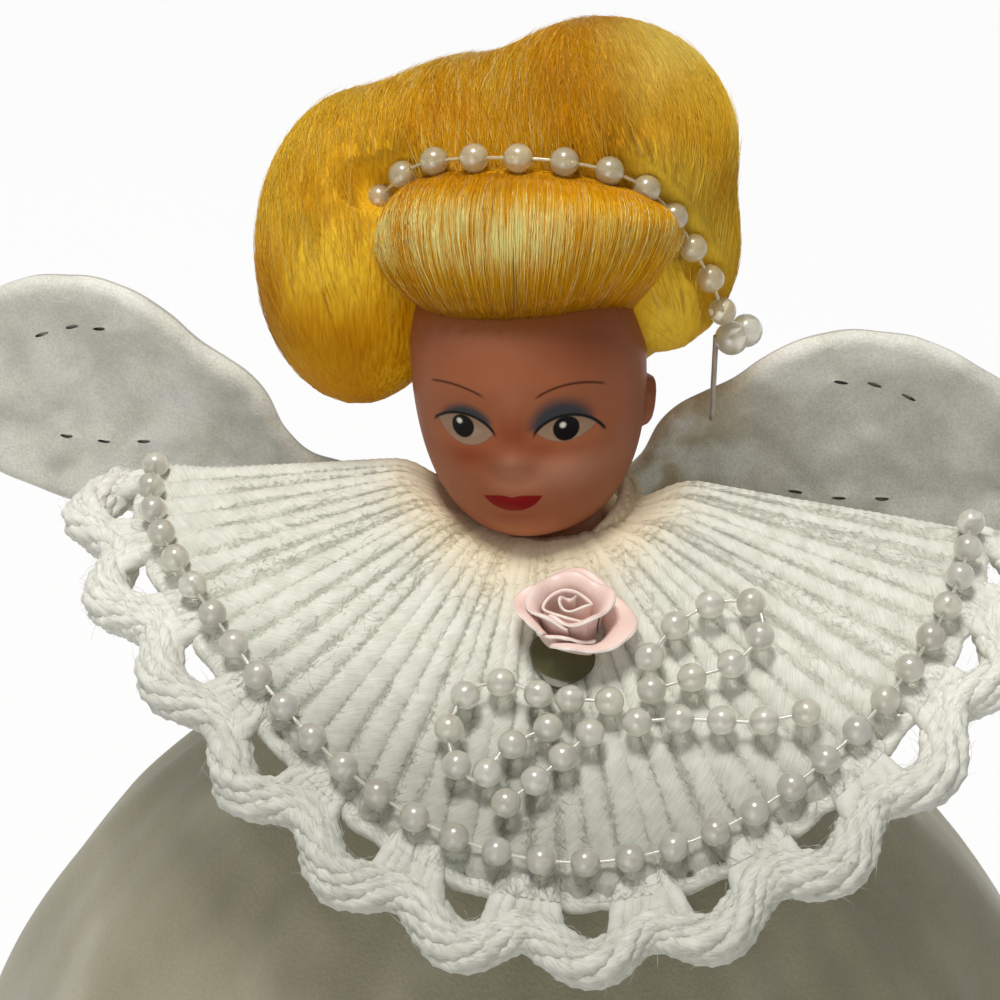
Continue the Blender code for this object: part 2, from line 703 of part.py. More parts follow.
def hair_frame():
    place = Matrix.Translation((HAIR_SIDE, 0.0, NECK_Z))
    return place @ Matrix.Rotation(HAIR_TURN, 4, "Z") @ Matrix.Rotation(-HEAD_TILT, 4, "X")


def skull_frame():
    place = Matrix.Translation((SKULL_SIDE, 0.0, NECK_Z))
    return place @ Matrix.Rotation(-HEAD_TILT, 4, "X") @ Matrix.Rotation(SKULL_LEAN, 4, "Y")


def jaw_fullness(below, backward):
    """How much wider than an egg the head is below its middle; this fades towards the nape."""
    egg = math.sqrt(max(0.0, 1.0 - below ** 2))
    if egg == 0.0:
        return 1.0
    full = max(0.0, 1.0 - below ** JAW_FULLNESS) ** (1.0 / JAW_FULLNESS)
    return 1.0 + (full / egg - 1.0) * (1.0 - max(0.0, backward))


def skull_mesh(name, grow):
    """The head's form: an egg with a full jaw that narrows to the chin, and a small nose."""
    bm = bmesh.new()
    bmesh.ops.create_uvsphere(bm, u_segments=SKULL_SEGMENTS, v_segments=SKULL_RINGS, radius=1.0)
    half_x, half_y, half_z = [size + grow for size in SKULL_HALF]
    for vert in bm.verts:
        below = max(0.0, -vert.co.z)
        fullness = jaw_fullness(below, vert.co.y)
        x = vert.co.x * half_x * fullness * (1.0 - JAW_TAPER * below ** 2)
        y = vert.co.y * half_y * fullness
        if vert.co.y > 0.0:
            y *= 1.0 - NAPE_TAPER * below ** 2
        z = SKULL_CENTRE_Z + vert.co.z * (SKULL_LOW + grow if vert.co.z < 0.0 else half_z)
        if vert.co.y < 0.0:
            away = ((x - NOSE_SIDE) ** 2 + (z - NOSE_HEIGHT) ** 2) / NOSE_SPREAD ** 2
            y -= NOSE_DEPTH * math.exp(-away)
        vert.co = (x, y, z)
    bmesh.ops.transform(bm, matrix=skull_frame(), verts=bm.verts)
    return mesh_of(bm, name)


def upright_cylinder(name, radius, low, high):
    bm = bmesh.new()
    bmesh.ops.create_cone(bm, cap_ends=True, segments=TURNED_STEPS // 2, radius1=radius,
                          radius2=radius, depth=high - low)
    bmesh.ops.translate(bm, verts=bm.verts, vec=(0.0, 0.0, (high + low) / 2))
    return mesh_of(bm, name, smooth=False)


def make_head(looks, pivot):
    """A hollow head on a neck tube that slips over the post and stands on its collar."""
    low = NECK_Z - collar_top_drop() + CLEARANCE
    high = NECK_Z + NECK_TUBE_TOP
    head = add_object("head_shell", skull_mesh("head_shell", 0.0), looks["vinyl"], pivot)
    boolean(head, add_cutter("neck_tube", upright_cylinder("neck_tube", NECK_TUBE_RADIUS, low, high)),
            "UNION")
    boolean(head, add_cutter("head_hollow", skull_mesh("head_hollow", -SKULL_WALL)))
    bore = upright_cylinder("neck_bore", POST_RADIUS + CLEARANCE, low - SKULL_WALL, high)
    boolean(head, add_cutter("neck_bore", bore))


def hair_cutter(name, frame, clear):
    centre, half = HAIR_ROLLS[name]
    grown = [size + clear for size in half]
    mesh = ellipsoid_mesh(f"{name}_space", frame, centre, grown, HAIR_SEGMENTS, HAIR_RINGS)
    return add_cutter(f"{name}_space", mesh)


def make_hair(looks, pivot):
    """Hair rolls piled on the head; each is cut by the head, the headband and the larger rolls."""
    frame = hair_frame()
    head_space = add_cutter("head_space", skull_mesh("head_space", CLEARANCE))
    groove_path = [frame @ point for point in run_on(smooth_path(HEADBAND_ROUTE, 2), 2 * PEARL_RADIUS)]
    groove_radius = (PEARL_RADIUS + CLEARANCE) / math.cos(math.pi / TUBE_SIDES)
    groove = tube("headband_groove", groove_path, [groove_radius] * len(groove_path), looks["hair"])
    groove_space = add_cutter("headband_groove", meshed(groove))
    larger = []
    for name, (centre, half) in HAIR_ROLLS.items():
        mesh = ellipsoid_mesh(name, frame, centre, half, HAIR_SEGMENTS, HAIR_RINGS)
        roll = add_object(name, mesh, looks["hair"], pivot)
        boolean(roll, head_space)
        for space in larger:
            boolean(roll, space)
        boolean(roll, groove_space)
        larger.append(hair_cutter(name, frame, CLEARANCE))


def make_headband(looks, pivot):
    frame = hair_frame()
    route = [frame @ Vector(point) for point in HEADBAND_ROUTE]
    pearl_strand("headband_pearls", route, HEADBAND_PITCH, PEARL_RADIUS, looks["pearl"], pivot)
    ends = [frame @ Vector(point) for point in END_PEARL_ROUTE]
    pitch = (ends[1] - ends[0]).length
    pearl_strand("headband_end_pearls", ends, pitch, END_PEARL_RADIUS, looks["pearl"], pivot)
    wire = [(TAIL_WIRE_X, TAIL_WIRE_Y, NECK_Z + height) for height in (TAIL_WIRE_TOP, TAIL_WIRE_END)]
    tube("headband_wire", wire, [TAIL_WIRE_RADIUS] * 2, looks["wire"], pivot)


def main():
    clear_scene()
    looks = finishes()
    make_cone(looks)
    make_post(looks)
    make_skirt(looks)
    make_skirt_band(looks)
    make_skirt_pearls(looks)
    make_cape(looks)
    make_neck_roll(looks)
    make_cape_edging(looks)
    make_cape_pearls(looks)
    make_bow(looks)
    make_rose(looks)
    make_wing_bar(looks)
    make_wing("left", -1, looks)
    make_wing("right", 1, looks)
    pivot = joint_empty("head_axis", Vector((0.0, 0.0, NECK_Z)))
    make_head(looks, pivot)
    make_hair(looks, pivot)
    make_headband(looks, pivot)


main()
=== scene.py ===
"""Looks of the angel tree topper: yarn cape, pearls, cloth wings, ribbon rose and doll's head.

Metres, +Z up, the angel faces -Y. Sizes and routes repeat those of the CAD source.
"""
import json
import math
import random

import bmesh
import bpy
import numpy as np
from mathutils import Matrix, Vector, noise
from mathutils.geometry import delaunay_2d_cdt, intersect_point_line

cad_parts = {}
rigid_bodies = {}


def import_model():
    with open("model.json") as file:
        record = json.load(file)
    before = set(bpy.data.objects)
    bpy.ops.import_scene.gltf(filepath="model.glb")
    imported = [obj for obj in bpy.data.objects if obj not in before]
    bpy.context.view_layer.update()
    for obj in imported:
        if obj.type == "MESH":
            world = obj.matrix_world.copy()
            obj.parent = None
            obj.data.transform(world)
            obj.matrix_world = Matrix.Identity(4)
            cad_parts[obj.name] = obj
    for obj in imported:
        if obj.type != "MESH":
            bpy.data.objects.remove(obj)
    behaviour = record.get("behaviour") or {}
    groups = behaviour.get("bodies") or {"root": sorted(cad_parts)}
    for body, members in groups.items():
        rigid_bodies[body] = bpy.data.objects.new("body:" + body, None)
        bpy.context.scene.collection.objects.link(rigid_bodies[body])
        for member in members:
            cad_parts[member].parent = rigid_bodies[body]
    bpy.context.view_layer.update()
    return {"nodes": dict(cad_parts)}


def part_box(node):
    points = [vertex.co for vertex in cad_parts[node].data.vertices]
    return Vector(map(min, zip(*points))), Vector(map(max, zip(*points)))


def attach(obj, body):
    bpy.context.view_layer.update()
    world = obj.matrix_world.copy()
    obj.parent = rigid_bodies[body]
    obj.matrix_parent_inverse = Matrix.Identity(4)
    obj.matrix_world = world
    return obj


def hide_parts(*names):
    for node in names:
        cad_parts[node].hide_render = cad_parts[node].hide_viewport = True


for leftover in list(bpy.data.objects):
    bpy.data.objects.remove(leftover, do_unlink=True)
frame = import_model()
dice = random.Random(7)
dice_np = np.random.default_rng(7)

NECK_Z = 0.130
CLEARANCE = 0.0003

# Cape, edging and pearls
CAPE_CENTRE_X = 0.0043
CAPE_INNER_RADIUS = 0.0085
CAPE_RADIUS = 0.0398
CAPE_HALF_ANGLE = math.radians(92)
CAPE_FRONT_SLOPE = math.tan(math.radians(28.3))
CAPE_SIDE_SLOPE = math.tan(math.radians(8))
CAPE_FALL_TURN = math.radians(5)
CAPE_FALL_CURVE = 2.4
CAPE_LEFT_STRETCH = 0.13
CAPE_STRETCH_CURVE = 9.0
CAPE_NECK_DROP = 0.0047
CAPE_NECK_BLEND = 0.006
CAPE_RIBS = 42
CAPE_CREST = 0.0023
CAPE_SIDE_FIBRES = 7600
NECK_FIBRES = 2400
COLLAR_RADIUS = 0.0087
COLLAR_FIBRES = 900
EDGING_RADIUS = 0.0019
EDGING_ARCHES = 12
EDGING_ARCH_DEPTH = 0.0025
PEARL_RADIUS = 0.0014
THREAD_RADIUS = 0.00018
CAPE_STRAND_RADIUS = 0.0386
CAPE_STRAND_HALF_ANGLE = math.radians(89)
BOW_LIFT = 2 * CLEARANCE + 0.0004 + PEARL_RADIUS
BOW_ROUTES = {
    "bow_left_loop": (
        (0.0044, -0.0278), (0.0028, -0.0287), (0.0004, -0.0306), (-0.0013, -0.0334),
        (-0.0036, -0.0324), (-0.0047, -0.0293), (-0.0033, -0.0258), (-0.0002, -0.0244),
        (0.0031, -0.0249)),
    "bow_right_loop": (
        (0.0136, -0.0237), (0.0172, -0.0226), (0.0211, -0.0211), (0.0234, -0.0183),
        (0.0224, -0.0157), (0.0186, -0.0159), (0.0153, -0.0179), (0.0131, -0.0208)),
    "bow_left_tail": (
        (0.0083, -0.0278), (0.0060, -0.0303), (0.0037, -0.0327), (0.0014, -0.0349)),
    "bow_right_tail": (
        (0.0126, -0.0266), (0.0158, -0.0262), (0.0200, -0.0262), (0.0240, -0.0262),
        (0.0281, -0.0253)),
    "bow_knot": ((0.0061, -0.0250), (0.0098, -0.0249)),
}
ROSE_X = 0.0058
ROSE_Y = -0.0150

# Skirt rows: drop below the neck, radius at the front and at the back
SKIRT_ROWS = (
    (0.0108, 0.0105, 0.0105), (0.0158, 0.0105, 0.0105), (0.022, 0.0165, 0.0139),
    (0.031, 0.0290, 0.0205), (0.041, 0.0395, 0.0285), (0.052, 0.0490, 0.0380),
    (0.072, 0.0610, 0.0540), (0.096, 0.0700, 0.0670), (NECK_Z - 0.0015, 0.079, 0.079),
)
SKIRT_FOLDS = 12
SKIRT_FOLD_DEPTH = 0.0045

# Wings
WING_PAIR_X = -0.0105
WING_BAR_LENGTH = 0.012
WING_BAR_Y = 0.01335
WING_ROOT_GAP = 0.0028
WING_SWEEP = math.radians(10)
WING_EDGE_RADIUS = 0.0010
WING_TURN = 0.00115
WING_OUTLINE = (
    (0.000, -0.0128), (0.0080, -0.0120), (0.0118, -0.0088), (0.0140, -0.0045), (0.0178, -0.0016),
    (0.0228, 0.0016), (0.0280, 0.0048), (0.0330, 0.0056), (0.040, 0.0042), (0.048, -0.0010),
    (0.053, -0.0080), (0.051, -0.0150), (0.042, -0.0196), (0.030, -0.0206), (0.016, -0.0186),
    (0.000, -0.0166),
)
WING_SLOTS = (
    ((0.0341, 0.0016), (0.0378, 0.0007), (0.0415, -0.0008)),
    ((0.0303, -0.0124), (0.0350, -0.0131), (0.0397, -0.0134)),
)

# Head and hair
HEAD_TILT = math.radians(15)
SKULL_FRAME = (Matrix.Translation((-0.0004, 0.0, NECK_Z)) @ Matrix.Rotation(-HEAD_TILT, 4, "X")
               @ Matrix.Rotation(math.radians(-6), 4, "Y"))
HAIR_FRAME = (Matrix.Translation((-0.0013, 0.0, NECK_Z)) @ Matrix.Rotation(math.radians(-3), 4, "Z")
              @ Matrix.Rotation(-HEAD_TILT, 4, "X"))
SKULL_HALF = (0.0116, 0.0129, 0.0155)
SKULL_LOW = 0.0164
SKULL_CENTRE_Z = 0.0117
JAW_TAPER = 0.27
JAW_FULLNESS = 4.2
NAPE_TAPER = 0.20
HAIR_LOBES = {
    "left": ((-0.0188, 0.0040, 0.0198), (0.0106, 0.0106, 0.0160)),
    "crown": ((-0.0070, 0.0050, 0.0288), (0.0130, 0.0116, 0.0112)),
    "top": ((0.0050, 0.0050, 0.0326), (0.0130, 0.0118, 0.0120)),
    "right": ((0.0114, 0.0060, 0.0220), (0.0076, 0.0088, 0.0102)),
    "back": ((-0.0010, 0.0130, 0.0190), (0.0160, 0.0080, 0.0140)),
}
HAIR_BLEND = 0.0013
PILE_FIBRES = 30000
FRINGE_LOCKS = 190
LOCK_FIBRES = 34
HAIR_HEART = np.array((-0.0040, 0.0060, 0.0220))
HEADBAND_ROUTE = (
    (-0.0155, -0.0026, 0.0268), (-0.0118, -0.0052, 0.0306), (-0.0082, -0.0068, 0.0320),
    (-0.0045, -0.0078, 0.0327), (0.0000, -0.0082, 0.0331), (0.0042, -0.0077, 0.0329),
    (0.0080, -0.0064, 0.0320), (0.0112, -0.0042, 0.0299), (0.0136, -0.0022, 0.0269),
    (0.0153, -0.0002, 0.0236), (0.0168, 0.0018, 0.0205), (0.0179, 0.0036, 0.0172),
)
END_PEARLS = ((0.0189, 0.0052, 0.0141), (0.0200, 0.0086, 0.0141))


class Finish:
    """One procedural material: a Principled shader and the nodes that feed it."""

    SOCKETS = {
        "colour": "Base Color", "roughness": "Roughness", "metallic": "Metallic",
        "specular": "Specular IOR Level", "sheen": "Sheen Weight",
        "sheen_roughness": "Sheen Roughness", "coat": "Coat Weight",
        "coat_roughness": "Coat Roughness", "coat_bend": "Coat IOR", "normal": "Normal",
        "tint": "Specular Tint", "clear": "Transmission Weight", "bend": "IOR",
    }

    def __init__(self, name, **settings):
        self.material = bpy.data.materials.new(name)
        self.material.use_nodes = True
        self.tree = self.material.node_tree
        self.shader = self.tree.nodes["Principled BSDF"]
        for key, value in settings.items():
            self.shader.inputs[self.SOCKETS[key]].default_value = value

    def node(self, kind, inputs=None, **settings):
        made = self.tree.nodes.new(f"ShaderNode{kind}")
        for key, value in settings.items():
            setattr(made, key, value)
        for key, value in (inputs or {}).items():
            if isinstance(value, bpy.types.NodeSocket):
                self.tree.links.new(value, made.inputs[key])
            else:
                made.inputs[key].default_value = value
        return made

    def feed(self, key, socket):
        self.tree.links.new(socket, self.shader.inputs[self.SOCKETS[key]])

    def where(self, scale=(1.0, 1.0, 1.0), turn=(0.0, 0.0, 0.0), shift=(0.0, 0.0, 0.0)):
        """Object coordinates, scaled, turned and shifted."""
        spot = self.node("TexCoord").outputs["Object"]
        return self.node("Mapping", {"Vector": spot, "Scale": scale, "Rotation": turn,
                                     "Location": shift}).outputs[0]

    def specks(self, scale, detail=3.0, vector=None, distortion=0.0):
        vector = vector or self.where()
        return self.node("TexNoise", {"Vector": vector, "Scale": scale, "Detail": detail,
                                      "Distortion": distortion}).outputs["Fac"]

    def each_fibre(self):
        """A number from 0 to 1 for each separate fibre or bead of a piece."""
        return self.node("NewGeometry").outputs["Random Per Island"]

    def span(self, value, low, high, to_low=0.0, to_high=1.0):
        return self.node("MapRange", {0: value, 1: low, 2: high, 3: to_low, 4: to_high},
                         interpolation_type="SMOOTHSTEP").outputs[0]

    def shades(self, value, *stops):
        """A colour that runs through stops of (place, colour)."""
        ramp = self.node("ValToRGB", {"Fac": value})
        elements = ramp.color_ramp.elements
        while len(elements) < len(stops):
            elements.new(0.5)
        for element, (place, colour) in zip(elements, stops):
            element.position = place
            element.color = (*colour, 1.0)
        return ramp.outputs["Color"]

    def blend(self, share, first, second, way="MIX"):
        mix = self.node("Mix", data_type="RGBA", blend_type=way)
        for key, value in ((0, share), (6, first), (7, second)):
            if isinstance(value, bpy.types.NodeSocket):
                self.tree.links.new(value, mix.inputs[key])
            elif key:
                mix.inputs[key].default_value = (*value, 1.0)
            else:
                mix.inputs[key].default_value = value
        return mix.outputs[2]

    def sums(self, operation, first, second=None):
        node = self.node("Math", {0: first}, operation=operation)
        if isinstance(second, bpy.types.NodeSocket):
            self.tree.links.new(second, node.inputs[1])
        elif second is not None:
            node.inputs[1].default_value = second
        return node.outputs[0]

    def raise_by(self, height, distance, strength=1.0):
        bump = self.node("Bump", {"Height": height, "Distance": distance, "Strength": strength})
        self.feed("normal", bump.outputs[0])


class Field:
    """A number that a finish works out at each point, written as plain arithmetic."""

    def __init__(self, finish, socket):
        self.finish = finish
        self.socket = socket

    def _with(self, operation, other=None):
        other = other.socket if isinstance(other, Field) else other
        return Field(self.finish, self.finish.sums(operation, self.socket, other))

    def __add__(self, other):
        return self._with("ADD", other)

    def __sub__(self, other):
        return self._with("SUBTRACT", other)

    def __mul__(self, other):
        return self._with("MULTIPLY", other)

    def most(self, other):
        return self._with("MAXIMUM", other)

    def size(self):
        return self._with("ABSOLUTE")

    def square(self):
        return self * self

    def root(self):
        return self._with("SQRT")

    def under(self, edge, soft):
        """1 where the number is under the edge, 0 over it, with a soft step between."""
        return Field(self.finish, self.finish.span(self.socket, edge - soft, edge + soft, 1.0, 0.0))

    def hump(self):
        """exp(-number): 1 where the number is 0, fading as it grows."""
        return Field(self.finish, self.finish.sums("POWER", math.exp(-1.0), self.socket))


def link_piece(name, mesh, finish, body, replaces=()):
    """A finished piece that rides on a body and stands for CAD nodes."""
    mesh.name = name
    item = bpy.data.objects.new(name, mesh)
    bpy.context.scene.collection.objects.link(item)
    mesh.materials.clear()
    mesh.materials.append(finish.material)
    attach(item, body)
    if replaces:
        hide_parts(*replaces)
    return item


def mesh_from(bm, name, smooth=True):
    mesh = bpy.data.meshes.new(name)
    bm.to_mesh(mesh)
    bm.free()
    if smooth:
        mesh.shade_smooth()
    return mesh


def smooth_path(route, steps=8, closed=False):
    """Points of a smooth curve through a route's own points."""
    points = [Vector(point) for point in route]
    last = len(points) - 1
    path = []
    for index in range(len(points) if closed else last):
        if closed:
            four = [points[(index + shift) % len(points)] for shift in (-1, 0, 1, 2)]
        else:
            four = [points[min(max(index + shift, 0), last)] for shift in (-1, 0, 1, 2)]
        before, start, end, after = four
        for step in range(steps):
            t = step / steps
            path.append(0.5 * (2 * start + (end - before) * t
                               + (2 * before - 5 * start + 4 * end - after) * t ** 2
                               + (3 * start - before - 3 * end + after) * t ** 3))
    if not closed:
        path.append(points[-1])
    return path


def path_length(path):
    return sum((end - start).length for start, end in zip(path, path[1:]))


def along(path, distance):
    for start, end in zip(path, path[1:]):
        length = (end - start).length
        if distance <= length or end is path[-1]:
            return start.lerp(end, distance / length)
        distance -= length
    return path[-1]


def section(name, sides, plies=0, groove=0.0):
    """A closed unit profile for tubes; plies give it the lobes of twisted yarn."""
    curve = bpy.data.curves.new(name, "CURVE")
    curve.dimensions = "2D"
    spline = curve.splines.new("POLY")
    spline.points.add(sides - 1)
    for index, knot in enumerate(spline.points):
        angle = 2 * math.pi * index / sides
        radius = 1.0 - groove * (1.0 - abs(math.cos(plies * angle / 2.0))) if plies else 1.0
        knot.co = (radius * math.cos(angle), radius * math.sin(angle), 0.0, 1.0)
    spline.use_cyclic_u = True
    item = bpy.data.objects.new(name, curve)
    bpy.context.scene.collection.objects.link(item)
    return item


def tubes_mesh(name, profile, paths, closed=False):
    """One mesh of many tubes. A path is (points, radii) or (points, radii, tilts)."""
    curve = bpy.data.curves.new(name, "CURVE")
    curve.dimensions = "3D"
    curve.bevel_mode = "OBJECT"
    curve.bevel_object = profile
    curve.use_fill_caps = not closed
    for path in paths:
        points = np.asarray([tuple(point) for point in path[0]], np.float32)
        spline = curve.splines.new("POLY")
        spline.points.add(len(points) - 1)
        spline.points.foreach_set("co", np.c_[points, np.ones(len(points), np.float32)].ravel())
        spline.points.foreach_set("radius", np.asarray(path[1], np.float32))
        if len(path) > 2:
            spline.points.foreach_set("tilt", np.asarray(path[2], np.float32))
        spline.use_cyclic_u = closed
        spline.use_smooth = True
    item = bpy.data.objects.new(name, curve)
    bpy.context.scene.collection.objects.link(item)
    graph = bpy.context.evaluated_depsgraph_get()
    mesh = bpy.data.meshes.new_from_object(item.evaluated_get(graph))
    bpy.data.objects.remove(item, do_unlink=True)
    bm = bmesh.new()
    bm.from_mesh(mesh)
    bmesh.ops.remove_doubles(bm, verts=bm.verts, dist=1e-7)
    bmesh.ops.recalc_face_normals(bm, faces=bm.faces)
    bm.to_mesh(mesh)
    bm.free()
    mesh.shade_smooth()
    return mesh


def shaped_grid(name, columns, rows, place, thickness=0.0, joined=False):
    """A sheet whose point at shares (across, down) sits where place says."""
    bm = bmesh.new()
    bmesh.ops.create_grid(bm, x_segments=columns, y_segments=rows, size=0.5, calc_uvs=True)
    for vert in bm.verts:
        vert.co = place(vert.co.x + 0.5, vert.co.y + 0.5)
    if joined:
        bmesh.ops.remove_doubles(bm, verts=bm.verts, dist=1e-6)
    bmesh.ops.recalc_face_normals(bm, faces=bm.faces)
    if thickness:
        bmesh.ops.solidify(bm, geom=bm.faces[:], thickness=thickness)
    return mesh_from(bm, name)


def cape_stretch(angle):
    """The cape reaches further out on its left than elsewhere."""
    return 1.0 + CAPE_LEFT_STRETCH * max(0.0, -math.sin(angle)) ** CAPE_STRETCH_CURVE


def cape_drop(radius, angle):
    frontness = max(0.0, math.cos(angle - CAPE_FALL_TURN)) ** CAPE_FALL_CURVE
    slope = CAPE_SIDE_SLOPE + (CAPE_FRONT_SLOPE - CAPE_SIDE_SLOPE) * frontness
    share = min(1.0, max(0.0, (radius - CAPE_INNER_RADIUS) / CAPE_NECK_BLEND))
    eased = share * share * (3.0 - 2.0 * share)
    return CAPE_NECK_DROP * (1.0 - eased) + radius * cape_stretch(angle) * slope * eased


def cape_point(radius, angle, lift=0.0):
    reach = radius * cape_stretch(angle)
    return Vector((CAPE_CENTRE_X * min(1.0, radius / CAPE_RADIUS) + reach * math.sin(angle),
                   -reach * math.cos(angle),
                   NECK_Z - cape_drop(radius, angle) + lift))


def over_cape(x, y, lift):
    """The point over the cape at x, y, so far above its rib crests."""
    radius = math.hypot(x, y)
    radius = math.hypot(x - CAPE_CENTRE_X * min(1.0, radius / CAPE_RADIUS), y)
    angle = math.atan2(x - CAPE_CENTRE_X * min(1.0, radius / CAPE_RADIUS), -y)
    drop = cape_drop(radius / cape_stretch(angle), angle)
    return Vector((x, y, NECK_Z - drop + CAPE_CREST + lift))


# Finishes
def yarn_finish(name, white, cream, run, front_shade):
    """Soft brushed yarn with fine streaks and small tufts, cream by the neck, greyer towards the front as
    painted shade.
    """
    finish = Finish(name, roughness=1.0, sheen=0.3, sheen_roughness=0.6, specular=0.05)
    spot = finish.node("SeparateXYZ", {0: finish.where()})
    flat = finish.sums("SQRT", finish.sums(
        "ADD", finish.sums("MULTIPLY", spot.outputs[0], spot.outputs[0]),
        finish.sums("MULTIPLY", spot.outputs[1], spot.outputs[1])))
    near = finish.span(flat, 0.0095, 0.0185)
    lay = finish.node("Mapping", {"Vector": finish.node("TexCoord").outputs["UV"], "Scale": (*run, 1.0)})
    streaks = finish.specks(1.0, 5.0, lay.outputs[0])
    tone = finish.shades(streaks, (0.30, [0.80 * part for part in white]), (0.60, white))
    tufts = finish.shades(finish.specks(620.0), (0.36, (0.89, 0.89, 0.87)), (0.60, (1.0, 1.0, 1.0)))
    # painted shade: the yarn turns greyer towards the cape's front edge, where less light falls
    painted_shade_tone = finish.shades(finish.span(spot.outputs[1], -0.018, -0.036), (0.0, (1.0, 1.0, 1.0)),
                         (1.0, front_shade))
    tone = finish.blend(1.0, finish.blend(1.0, tone, tufts, "MULTIPLY"), painted_shade_tone, "MULTIPLY")
    finish.feed("colour", finish.blend(near, cream, tone))
    finish.raise_by(streaks, 0.00013, 0.4)
    return finish


def pearl_finish():
    """Glassy pearl: mostly clear, milky inside, with a glossy skin; the pearls on the hair get a painted
    golden reflection of it.
    """
    finish = Finish("pearl_plastic", roughness=0.05, specular=0.5, clear=0.62, bend=1.42,
                    coat=1.0, coat_roughness=0.28, coat_bend=1.9)
    tint = finish.shades(finish.each_fibre(), (0.0, (0.86, 0.84, 0.74)), (0.5, (0.90, 0.885, 0.80)),
                         (1.0, (0.94, 0.93, 0.87)))
    cloud = finish.shades(finish.specks(700.0), (0.35, (0.92, 0.92, 0.90)), (0.7, (1.0, 1.0, 1.0)))
    height = finish.node("SeparateXYZ", {0: finish.where()}).outputs[2]
    # painted reflection: pearls as high as the hair take a golden tint for the hair they reflect
    hair_reflection = finish.blend(finish.span(height, 0.140, 0.148), tint, (0.97, 0.86, 0.56))
    finish.feed("colour", finish.blend(1.0, hair_reflection, cloud, "MULTIPLY"))
    return finish


def hair_finish(name, dark, middle, light, rolled=False):
    """Golden synthetic floss: every fibre has its own shade, the palest few painted glints; the rolled fringe
    has a painted pale highlight across its middle and painted shade at its roots and tips.
    """
    finish = Finish(name, roughness=0.34, specular=0.4, tint=(1.0, 0.78, 0.16, 1.0))
    # the palest fibres, a few in a hundred, stand in for glints: painted highlight
    fibre = finish.shades(finish.each_fibre(), (0.0, dark), (0.5, middle), (0.90, light),
                          (0.94, (0.99, 0.90, 0.48)))
    spot = finish.node("SeparateXYZ", {0: finish.where()})
    if rolled:
        run = finish.node("SeparateXYZ", {0: finish.node("TexCoord").outputs["UV"]}).outputs[0]
        # painted highlight: a pale band across the middle of the roll, where it turns to the light
        painted_shine = finish.sums("MULTIPLY", finish.span(run, 0.20, 0.40), finish.span(run, 0.74, 0.50))
        painted_shine = finish.sums("MULTIPLY", painted_shine, finish.span(spot.outputs[0], 0.000, 0.005, 1.0, 0.30))
        mixed = finish.sums("ADD", finish.sums("MULTIPLY", finish.specks(330.0, 2.0), 0.55),
                            finish.sums("MULTIPLY", finish.each_fibre(), 0.45))
        patches = finish.span(mixed, 0.34, 0.56)
        colour = finish.blend(finish.sums("MULTIPLY", painted_shine, patches), fibre, (1.0, 0.91, 0.36))
        # painted shade: darker orange at the roots and at the tips of the roll
        colour = finish.blend(finish.span(run, 0.30, 0.08, 0.0, 0.6), colour, (0.68, 0.26, 0.001))
        colour = finish.blend(finish.span(run, 0.62, 0.95, 0.0, 0.60), colour, (0.56, 0.19, 0.002))
    else:
        colour = hair_patches(finish, spot, fibre)
    finish.feed("colour", colour)
    return finish


def hair_patches(finish, spot, colour):
    """The piled hair's broad shades: yellow on the right; paler on the upper left and the top as painted
    light; darker orange low on the left and over the pearls as painted shade.
    """
    x, y, z = spot.outputs
    right = finish.span(x, 0.000, 0.013, 0.0, 0.65)
    # painted light: the upper left is paler where the lamp reaches it; the lower left is left out
    left = finish.sums("MULTIPLY", finish.span(x, -0.010, -0.022, 0.0, 0.55), finish.span(z, 0.138, 0.154))
    colour = finish.blend(left, colour, (0.92, 0.66, 0.07))
    colour = finish.blend(right, colour, (0.93, 0.69, 0.08))
    # painted highlight on the top of the hair, on the right
    painted_top_light = finish.sums("MULTIPLY", finish.span(x, 0.002, 0.009, 0.0, 0.6), finish.span(z, 0.163, 0.170))
    colour = finish.blend(painted_top_light, colour, (0.99, 0.80, 0.20))
    # painted shade low on the left
    low = finish.sums("MULTIPLY", finish.span(x, -0.013, -0.019, 0.0, 0.8), finish.span(z, 0.152, 0.141))
    colour = finish.blend(low, colour, (0.50, 0.21, 0.001))
    # painted shade over the pearls of the headband
    over = finish.sums("MULTIPLY", finish.span(x, -0.009, -0.002), finish.span(x, 0.011, 0.005))
    over = finish.sums("MULTIPLY", over, finish.span(z, 0.1735, 0.1690, 0.0, 0.32))
    over = finish.sums("MULTIPLY", over, finish.span(y, 0.012, 0.007))
    colour = finish.blend(over, colour, (0.54, 0.22, 0.001))
    depth = finish.shades(finish.specks(95.0, 2.0), (0.34, (0.92, 0.76, 0.36)), (0.60, (1.0, 1.0, 1.0)))
    return finish.blend(1.0, colour, depth, "MULTIPLY")


def hair_bed_finish():
    """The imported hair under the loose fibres, in soft patches of orange and yellow gold."""
    finish = Finish("golden_hair_bed", roughness=0.6, specular=0.15, tint=(1.0, 0.78, 0.16, 1.0))
    combed = finish.specks(1.0, 4.0, finish.where(scale=(3000.0, 3000.0, 300.0)))
    spot = finish.node("SeparateXYZ", {0: finish.where()})
    gold = finish.shades(combed, (0.34, (0.60, 0.24, 0.001)), (0.50, (0.80, 0.42, 0.005)),
                         (0.66, (0.92, 0.60, 0.04)))
    finish.feed("colour", hair_patches(finish, spot, gold))
    finish.raise_by(combed, 0.00016, 0.6)
    return finish


